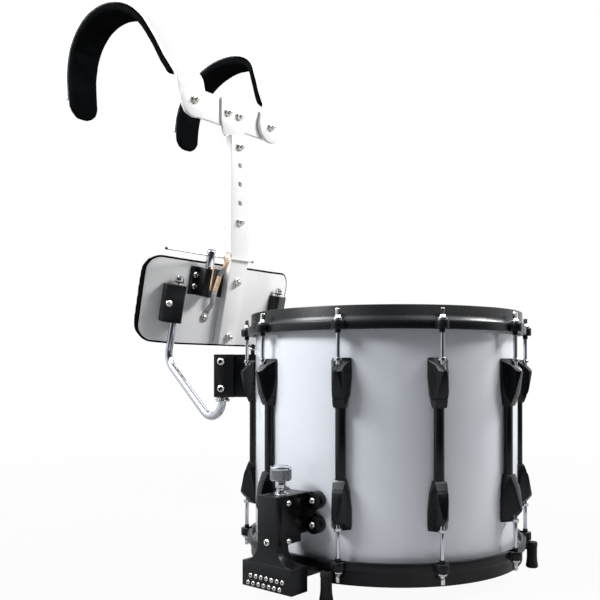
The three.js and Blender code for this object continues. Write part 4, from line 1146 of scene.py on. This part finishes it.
def swollen(form, name, voxel, pressure, cap, is_backed):
    """Remeshes a form and swells it with the cloth solver; points on its backing stay in place."""
    mesh = bpy.data.meshes.new(name)
    form.transform(TO_FRAME)
    form.to_mesh(mesh)
    form.free()
    thing = bpy.data.objects.new(name, mesh)
    scene = bpy.context.scene
    scene.collection.objects.link(thing)
    bpy.context.view_layer.objects.active = thing
    remesh = thing.modifiers.new("voxels", "REMESH")
    remesh.mode, remesh.voxel_size = "VOXEL", voxel * MM
    settle(thing)
    rest = [vert.co.copy() for vert in thing.data.vertices]
    backed = [index for index, spot in enumerate(rest) if is_backed(spot / MM + Vector((0, 0, PLAYING)))]
    group = thing.vertex_groups.new(name="backing")
    group.add(backed, 1.0, "REPLACE")
    cloth = thing.modifiers.new("swell", "CLOTH")
    cloth.settings.use_pressure = True
    cloth.settings.uniform_pressure_force = pressure
    cloth.settings.quality = 6
    cloth.settings.mass = 0.3
    cloth.settings.tension_stiffness = cloth.settings.compression_stiffness = 25
    cloth.settings.bending_stiffness = 1.5
    cloth.settings.vertex_group_mass = "backing"
    cloth.settings.effector_weights.gravity = 0
    cloth.point_cache.frame_start, cloth.point_cache.frame_end = 1, SWELL_STEPS
    for step in range(1, SWELL_STEPS + 1):
        scene.frame_set(step)
    settle(thing)
    scene.frame_set(1)
    for vert, spot in zip(thing.data.vertices, rest):
        move = vert.co - spot
        if move.length > cap * MM:
            vert.co = spot + move.normalized() * cap * MM
    thing.vertex_groups.clear()
    return thing


def settle(thing):
    """Applies every modifier of an object to its mesh."""
    depsgraph = bpy.context.evaluated_depsgraph_get()
    settled = bpy.data.meshes.new_from_object(thing.evaluated_get(depsgraph))
    thing.modifiers.clear()
    old = thing.data
    thing.data = settled
    bpy.data.meshes.remove(old)


def pad_piece(thing, body, nodes):
    thing.data.materials.clear()
    thing.data.materials.append(material("foam"))
    for face in thing.data.polygons:
        face.use_smooth = True
    smooth = thing.modifiers.new("fine", "SUBSURF")
    smooth.levels = smooth.render_levels = 1
    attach(thing, body)
    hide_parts(*nodes)


class DRUM_OT_shoulder_pads(bpy.types.Operator):
    """Foam pads inside the shoulder straps, past their free ends"""

    bl_idname = "drum.shoulder_pads"
    bl_label = "Shoulder pads"

    def execute(self, context):
        wide, wall = carrier_size("pad_width") / 2, carrier_size("pad_wall")
        lift = carrier_size("strap_wall") / 2 + 1.4
        for label, side in SIDES.items():
            points = strap_points(side)
            whole = sum((b - a).length for a, b in zip(points, points[1:]))
            first = (3 - 0.2) / STRAP["stations"]
            stations = []
            for i in range(131):
                share = first + (1 - first) * i / 130
                from_end = (1 - share) * whole + 0.3
                from_start = (share - first) * whole + wall / 2
                narrow = round_end(from_end, 26)
                thin = round_end(min(from_end, from_start), wall)
                stations.append(strap_station(points, share, lift, narrow, thin))
            section = [(x * (wide - 0.8), y * (wall - 0.8) + 0.2) for x, y in CUSHION]
            form = sweep(section, stations)

            def is_backed(spot):
                near = min(stations, key=lambda place: (place.translation - spot).length_squared)
                inward = near.to_3x3().col[1].normalized()
                return (spot - near.translation).dot(inward) < 1.6

            thing = swollen(form, f"foam_pad_{label}", 3.5, 3.0, 2.0, is_backed)
            pad_piece(thing, f"strap_{label}", [f"shoulder_pad_{label}"])
        return {"FINISHED"}


class DRUM_OT_belly_pad(bpy.types.Operator):
    """Foam pad behind the belly plate, a little larger than the plate"""

    bl_idname = "drum.belly_pad"
    bl_label = "Belly pad"

    def execute(self, context):
        half = carrier_size("plate_width") / 2 + 2.6
        tall = carrier_size("plate_height") / 2 + 2.4
        wall, corner = 9.4, 26
        stations = []
        for i in range(81):
            x = -half + 2 * half * i / 80
            inset = half - abs(x)
            height = tall - corner * (1 - round_end(max(inset, 0.6), corner))
            thin = 1 - (3 / 9) * (1 - round_end(max(inset, 0.6), corner))
            spot = PLATE @ Vector((x, 0, -wing_drop(x) - 3.3))
            stations.append((spot, height, thin))
        up, back = PLATE.to_3x3() @ Vector((0, 1, 0)), PLATE.to_3x3() @ Vector((0, 0, -1))
        frames = []
        for spot, height, thin in stations:
            turn = Matrix((up * height, back * thin * wall, Vector((1, 0, 0)))).transposed().to_4x4()
            frames.append(Matrix.Translation(spot) @ turn)
        form = sweep(CUSHION, frames)
        inverse = PLATE.inverted()

        def is_backed(spot):
            local = inverse @ spot
            return -local.z - wing_drop(local.x) - 3.3 < 1.4

        thing = swollen(form, "belly_foam", 3.2, 4.0, 2.4, is_backed)
        pad_piece(thing, "carrier", ["belly_pad"])
        self.binding()
        return {"FINISHED"}

    def binding(self):
        """The pad's rolled edge, which covers the edge of the plate all round."""
        wide, tall = carrier_size("plate_width") + 1.6, carrier_size("plate_height") + 1.6
        outline = []
        corners = rounded_box(wide, tall, 24.8, 10)
        for (x, y), (next_x, next_y) in zip(corners, corners[1:] + corners[:1]):
            steps = max(1, round(math.hypot(next_x - x, next_y - y) / 8))
            outline += [(x + (next_x - x) * i / steps, y + (next_y - y) * i / steps) for i in range(steps)]
        spots = [Vector((x, y, -1.9 - wing_drop(x))) for x, y in outline]
        form = bmesh.new()
        rings = []
        for before, spot, after in zip(spots[-1:] + spots[:-1], spots, spots[1:] + spots[:1]):
            ahead = (after - before).normalized()
            place = station(spot, UP.cross(ahead).normalized(), ahead)
            ring = bmesh.ops.create_circle(form, segments=12, radius=2.0, matrix=place)["verts"]
            rings.append({edge for vert in ring for edge in vert.link_edges})
        for here, there in zip(rings, rings[1:] + rings[:1]):
            bmesh.ops.bridge_loops(form, edges=[*here, *there])
        bmesh.ops.recalc_face_normals(form, faces=form.faces)
        form.transform(PLATE)
        piece("pad_binding", [(form, "foam")], "carrier")


# The tuning key in its holder.

KEY_UP = PLATE @ Matrix.Translation((KEY["across"], 0, KEY["out"])) @ Matrix.Rotation(-QUARTER, 4, "X")


class DRUM_OT_key_holder(bpy.types.Operator):
    """Black saddle on the plate with a slotted barrel for the key"""

    bl_idname = "drum.key_holder"
    bl_label = "Key holder"

    def execute(self, context):
        spots = [PLATE @ Vector((-80, 36 + rise, 3.3)) for rise in (9, -9)]
        axis = PLATE.to_3x3() @ UP
        body = copied("key_holder", [(spot, axis, 5.0) for spot in spots], edge=0.5)
        parts = [(body, "cast_black")] + [(button(5.0, 3.0, spot, axis), "nickel") for spot in spots]
        piece("key_saddle", parts, "carrier", ["key_holder"])
        return {"FINISHED"}


class DRUM_OT_key(bpy.types.Operator):
    """Chromed tuning key and the bar that slides through its head"""

    bl_idname = "drum.key"
    bl_label = "Tuning key"

    def execute(self, context):
        radius, bar = carrier_size("key_radius"), carrier_size("key_bar_radius")
        head = lathe([
            (0, 60), (radius - 1, 60), (radius, 61), (radius, 85.5), (radius - 1.3, 87), (0, 87),
        ], 48, edge=0.4, place=KEY_UP)
        shaft = pillar(4.5, 20, 60.5, ROUND, 0.5, KEY_UP)
        level = Matrix.Rotation(QUARTER, 4, "Y")
        bore = pillar(bar + 0.5, -9, 9, 24, 0,
                      PLATE @ Matrix.Translation((KEY["across"], KEY["bar"], KEY["out"])) @ level)
        cap = lathe([
            (0, 86), (radius - 1.1, 86), (radius - 1.1, 87.4), (radius - 1.8, 88), (0, 88),
        ], 32, place=KEY_UP)
        # A thin strip standing out of the key's slot, in the warm reflection colour: a painted highlight
        # along the slot, where the recessed shaft would lie in shade.
        glint_strip = block((3.4, 6, 36), (0, -7, 42), 0.4, KEY_UP)
        parts = [(carved(head, bore), "chrome"), (shaft, "chrome"), (cap, "gloss_black"), (glint_strip, "copper")]
        piece("tuning_key", parts, "key", ["t_key"])
        place = PLATE @ Matrix.Translation((KEY["shift"], KEY["bar"], KEY["out"])) @ level
        parts = [(pillar(bar * 0.84, -90.5, 90.5, 24, 0.3, place), "nickel")]
        parts += [(pillar(bar, low, low + 3, 24, 0.5, place), "gloss_black") for low in (-92, 89)]
        piece("key_bar", parts, "key_bar", ["tommy_bar"])
        return {"FINISHED"}


LATCH = {"foot": Vector((-47, -21, 1.4)), "reach": (11.6, 97, 20), "half": 5.3, "wall": 0.5}
LATCH_LINE = [
    (0.17, 0.06, 0), (0.31, 0.115, 0), (0.45, 0.25, 0.39), (0.44, 0.44, 0.44), (0.86, 0.72, 0.49),
    (0.89, 0.85, 0.89), (0.96, 0.955, 1), (1, 1, 1),
]


class DRUM_OT_latch(bpy.types.Operator):
    """Sprung strip with an eyelet at its foot and a ring in front of the key's bar; some runs of the strip
    and the ring carry a painted warm reflection
    """

    bl_idname = "drum.latch"
    bl_label = "Latch strip"

    def execute(self, context):
        foot, reach = LATCH["foot"], LATCH["reach"]
        spots = [foot + Vector((x * reach[0], y * reach[1], z * reach[2])) for x, y, z in LATCH_LINE]
        parts = []
        half, wall = LATCH["half"], LATCH["wall"]
        section = [(half, wall), (-half, wall), (-half, -wall), (half, -wall)]
        bends = [spots[0]]
        for before, spot, after in zip(spots, spots[1:], spots[2:]):
            for t in (0.25, 0.5, 0.75):
                low, high = spot.lerp(before, 0.16), spot.lerp(after, 0.16)
                bends.append(low.lerp(spot, t).lerp(spot.lerp(high, t), t))
        bends.append(spots[-1])
        runs = []
        for i, spot in enumerate(bends):
            ahead = bends[min(i + 1, len(bends) - 1)] - bends[max(i - 1, 0)]
            ahead.normalize()
            across = ACROSS if abs(ahead.x) < 0.01 else (ACROSS - ACROSS.dot(ahead) * ahead).normalized()
            runs.append(station(spot, across, ahead))
        # The strip is one plated part: alternate runs get the painted warm reflection colour and the others
        # plain steel.
        ends = (0, 8, 11, 14, len(runs) - 1)
        for i, (low, high) in enumerate(zip(ends, ends[1:])):
            strip = soften(sweep(section, runs[low:high + 1]), 0.2, 2, math.radians(60))
            strip.transform(PLATE)
            parts.append((strip, "copper" if i % 2 else "steel"))
        tip = spots[-1]
        ring = lathe([(6.4, -0.9), (8.4, -0.9), (8.4, 0.9), (6.4, 0.9)], 48, ring=True, edge=0.7,
                     place=PLATE @ Matrix.Translation((tip.x, tip.y + 4.25, tip.z)))
        eyelet = lathe([(0, -0.55), (7.4, -0.55), (7.4, 0.8), (0, 0.8)], 48, edge=0.3,
                       place=PLATE @ Matrix.Translation(foot))
        head = button(4.0, 2.6, PLATE @ (foot + UP * 0.6), PLATE.to_3x3() @ UP)
        # The ring also carries the painted warm reflection colour.
        parts += [(ring, "copper"), (eyelet, "steel"), (head, "nickel")]
        piece("latch_spring", parts, "key_latch", ["latch_strip"])
        return {"FINISHED"}


# Studio: camera, lamps, white surroundings and a pale floor.

CAMERA = {
    "lens": 44.7, "sensor": 36.0, "shift": 0.1205,
    "place": (-0.8631, -0.5813, -0.0703), "turn": math.radians(-49.6),
}
LAMPS = (
    ("left_key", (-1.39, 0.79, 1.15), (0.85, 0.6), 46, (0.97, 0.985, 1.0)),
    ("right_fill", (1.10, -1.02, 1.15), (1.1, 0.4), 49, (1.0, 0.995, 0.985)),
)

# What mirrors see of the room: brightness by share of a turn, and for the upper banks by height as well.
LOW_LEVELS = (
    (0, 0.28), (1, 0.28), (0.03, 0.08), (0.07, 0.025), (0.105, 0.02), (0.112, 0.30), (0.119, 0.02),
    (0.22, 0.03), (0.28, 0.12), (0.335, 0.2), (0.37, 0.85), (0.47, 1.0), (0.61, 0.8), (0.78, 0.95),
    (0.86, 1.0), (0.94, 0.85), (0.975, 0.5),
)
HIGH_LEVELS = (
    (0, 1), (1, 1), (0.05, 0.5), (0.085, 0.25), (0.13, 0.25), (0.19, 0.8), (0.34, 0.8), (0.40, 0.2),
    (0.80, 0.2), (0.88, 1.0),
)
BELT_LEVELS = ((0.45, 0), (0.95, 0.08), (0.56, 1), (0.80, 1))
BANK_STRENGTH = 6.0


def levels(tree, source, table, tint):
    """A grey ramp over a value; the table's first two rows are its ends."""
    ramp = node(tree, "ShaderNodeValToRGB")
    stops = ramp.color_ramp.elements
    for i, (position, level) in enumerate(table):
        stop = stops[i] if i < 2 else stops.new(position)
        stop.position = position
        stop.color = (*(level * part for part in tint), 1)
    tree.links.new(source, ramp.inputs["Fac"])
    return ramp


class DRUM_OT_stage(bpy.types.Operator):
    """Camera at the photograph's place, soft lamps and a pale floor"""

    bl_idname = "drum.stage"
    bl_label = "Studio"

    def execute(self, context):
        self.camera(context)
        self.world(context)
        self.lamps(context)
        self.floor(context)
        return {"FINISHED"}

    def camera(self, context):
        data = bpy.data.cameras.new("camera")
        data.lens, data.sensor_width, data.shift_y = CAMERA["lens"], CAMERA["sensor"], CAMERA["shift"]
        data.clip_start, data.clip_end = 0.01, 50
        camera = bpy.data.objects.new("camera", data)
        camera.location = CAMERA["place"]
        camera.rotation_euler = (QUARTER, 0, CAMERA["turn"])
        context.scene.collection.objects.link(camera)
        context.scene.camera = camera

    def world(self, context):
        world = bpy.data.worlds.new("studio")
        context.scene.world = world
        world.use_nodes = True
        tree = world.node_tree
        tree.nodes.clear()
        place = node(tree, "ShaderNodeTexCoord")
        axes = node(tree, "ShaderNodeSeparateXYZ")
        tree.links.new(place.outputs["Generated"], axes.inputs["Vector"])
        turn = node(tree, "ShaderNodeMath", operation="ARCTAN2")
        tree.links.new(axes.outputs["Y"], turn.inputs[0])
        tree.links.new(axes.outputs["X"], turn.inputs[1])
        share = node(tree, "ShaderNodeMath", operation="MULTIPLY_ADD")
        share.inputs[1].default_value, share.inputs[2].default_value = 1 / math.tau, 0.5
        tree.links.new(turn.outputs[0], share.inputs[0])
        low = levels(tree, share.outputs[0], LOW_LEVELS, (0.94, 0.98, 1))
        high = levels(tree, share.outputs[0], HIGH_LEVELS, (0.95, 0.97, 1))
        belt = levels(tree, axes.outputs["Z"], BELT_LEVELS, (1, 1, 1))
        banks = node(tree, "ShaderNodeVectorMath", operation="MULTIPLY")
        tree.links.new(high.outputs["Color"], banks.inputs[0])
        tree.links.new(belt.outputs["Color"], banks.inputs[1])
        bright = node(tree, "ShaderNodeVectorMath", operation="SCALE")
        bright.inputs["Scale"].default_value = BANK_STRENGTH
        tree.links.new(banks.outputs["Vector"], bright.inputs[0])
        whole = node(tree, "ShaderNodeVectorMath", operation="ADD")
        tree.links.new(low.outputs["Color"], whole.inputs[0])
        tree.links.new(bright.outputs["Vector"], whole.inputs[1])
        rays = node(tree, "ShaderNodeLightPath")
        mirrored = node(tree, "ShaderNodeMath", operation="MAXIMUM")
        tree.links.new(rays.outputs["Is Glossy Ray"], mirrored.inputs[0])
        tree.links.new(rays.outputs["Is Transmission Ray"], mirrored.inputs[1])
        ambient = node(tree, "ShaderNodeBackground", Color=(0.90, 0.95, 1.0, 1), Strength=0.06)
        gloss = node(tree, "ShaderNodeBackground", Strength=1.0)
        white = node(tree, "ShaderNodeBackground", Color=(1, 1, 1, 1), Strength=1.0)
        tree.links.new(whole.outputs["Vector"], gloss.inputs["Color"])
        first, second = node(tree, "ShaderNodeMixShader"), node(tree, "ShaderNodeMixShader")
        tree.links.new(mirrored.outputs[0], first.inputs[0])
        tree.links.new(ambient.outputs[0], first.inputs[1])
        tree.links.new(gloss.outputs[0], first.inputs[2])
        tree.links.new(rays.outputs["Is Camera Ray"], second.inputs[0])
        tree.links.new(first.outputs[0], second.inputs[1])
        tree.links.new(white.outputs[0], second.inputs[2])
        output = node(tree, "ShaderNodeOutputWorld")
        tree.links.new(second.outputs[0], output.inputs["Surface"])

    def lamps(self, context):
        target = Vector((0, 0.05, -0.1))
        for name, spot, size, power, tint in LAMPS:
            data = bpy.data.lights.new(name, "AREA")
            data.shape, (data.size, data.size_y) = "RECTANGLE", size
            data.energy, data.color = power, tint
            lamp = bpy.data.objects.new(name, data)
            lamp.location = spot
            lamp.rotation_euler = (target - Vector(spot)).to_track_quat("-Z", "Y").to_euler()
            context.scene.collection.objects.link(lamp)

    def floor(self, context):
        form = bmesh.new()
        bmesh.ops.create_circle(form, cap_ends=True, segments=96, radius=3.0)
        mesh = bpy.data.meshes.new("floor")
        form.to_mesh(mesh)
        form.free()
        floor = bpy.data.objects.new("floor", mesh)
        mesh.transform(Matrix.Translation((0, 0, frame_floor())))
        context.scene.collection.objects.link(floor)
        mesh.materials.append(self.floor_material(context))

    def floor_material(self, context):
        made = bpy.data.materials.new("pale_floor")
        made.use_nodes = True
        tree = made.node_tree
        tree.nodes.clear()
        tint = (*context.scene.drum_colours.floor, 1)
        matt = node(tree, "ShaderNodeBsdfDiffuse", Color=tint)
        shine = node(tree, "ShaderNodeEmission", Color=(1, 1, 1, 1), Strength=1.0)
        clear = node(tree, "ShaderNodeBsdfTransparent")
        rays = node(tree, "ShaderNodeLightPath")
        seen = node(tree, "ShaderNodeMath", operation="MULTIPLY")
        seen.inputs[1].default_value = 0.95
        tree.links.new(rays.outputs["Is Camera Ray"], seen.inputs[0])
        lit = node(tree, "ShaderNodeMixShader")
        tree.links.new(seen.outputs[0], lit.inputs[0])
        tree.links.new(matt.outputs[0], lit.inputs[1])
        tree.links.new(shine.outputs[0], lit.inputs[2])
        place = node(tree, "ShaderNodeTexCoord")
        reach = node(tree, "ShaderNodeVectorMath", operation="LENGTH")
        tree.links.new(place.outputs["Object"], reach.inputs[0])
        fade = node(tree, "ShaderNodeMapRange", interpolation_type="SMOOTHSTEP")
        fade.inputs["From Min"].default_value, fade.inputs["From Max"].default_value = 0.6, 2.0
        tree.links.new(reach.outputs["Value"], fade.inputs["Value"])
        mixed = node(tree, "ShaderNodeMixShader")
        tree.links.new(fade.outputs["Result"], mixed.inputs[0])
        tree.links.new(lit.outputs[0], mixed.inputs[1])
        tree.links.new(clear.outputs[0], mixed.inputs[2])
        output = node(tree, "ShaderNodeOutputMaterial")
        tree.links.new(mixed.outputs[0], output.inputs["Surface"])
        return made


def frame_floor():
    return cad_box[0].z


OPERATORS = (
    DRUM_OT_stage, DRUM_OT_shell, DRUM_OT_heads, DRUM_OT_hoops, DRUM_OT_rods, DRUM_OT_lugs, DRUM_OT_feet,
    DRUM_OT_strainer, DRUM_OT_wires, DRUM_OT_receptors, DRUM_OT_hooks, DRUM_OT_clamps, DRUM_OT_plate,
    DRUM_OT_upright, DRUM_OT_t_top, DRUM_OT_straps, DRUM_OT_shoulder_pads, DRUM_OT_belly_pad,
    DRUM_OT_key_holder, DRUM_OT_key, DRUM_OT_latch,
)
SETTINGS = {"drum_sizes": DrumSizes, "carrier_sizes": CarrierSizes, "drum_colours": Colours}


class DRUM_PT_panel(bpy.types.Panel):
    """Sizes, colours and one button for each group of pieces"""

    bl_label = "Marching snare drum"
    bl_space_type = "VIEW_3D"
    bl_region_type = "UI"
    bl_category = "Drum"

    def draw(self, context):
        for name, group in SETTINGS.items():
            column = self.layout.column(align=True)
            for key in group.__annotations__:
                column.prop(getattr(context.scene, name), key)
        column = self.layout.column(align=True)
        for operator in OPERATORS:
            column.operator(operator.bl_idname)


CLASSES = (*SETTINGS.values(), *OPERATORS, DRUM_PT_panel)


def register():
    for made in CLASSES:
        bpy.utils.register_class(made)
    for name, group in SETTINGS.items():
        setattr(bpy.types.Scene, name, PointerProperty(type=group))


def unregister():
    for name in SETTINGS:
        delattr(bpy.types.Scene, name)
    for made in reversed(CLASSES):
        bpy.utils.unregister_class(made)


def main():
    register()
    bpy.context.scene.view_settings.view_transform = "Standard"
    for operator in OPERATORS:
        group, name = operator.bl_idname.split(".")
        getattr(getattr(bpy.ops, group), name)()


if __name__ == "__main__":
    main()
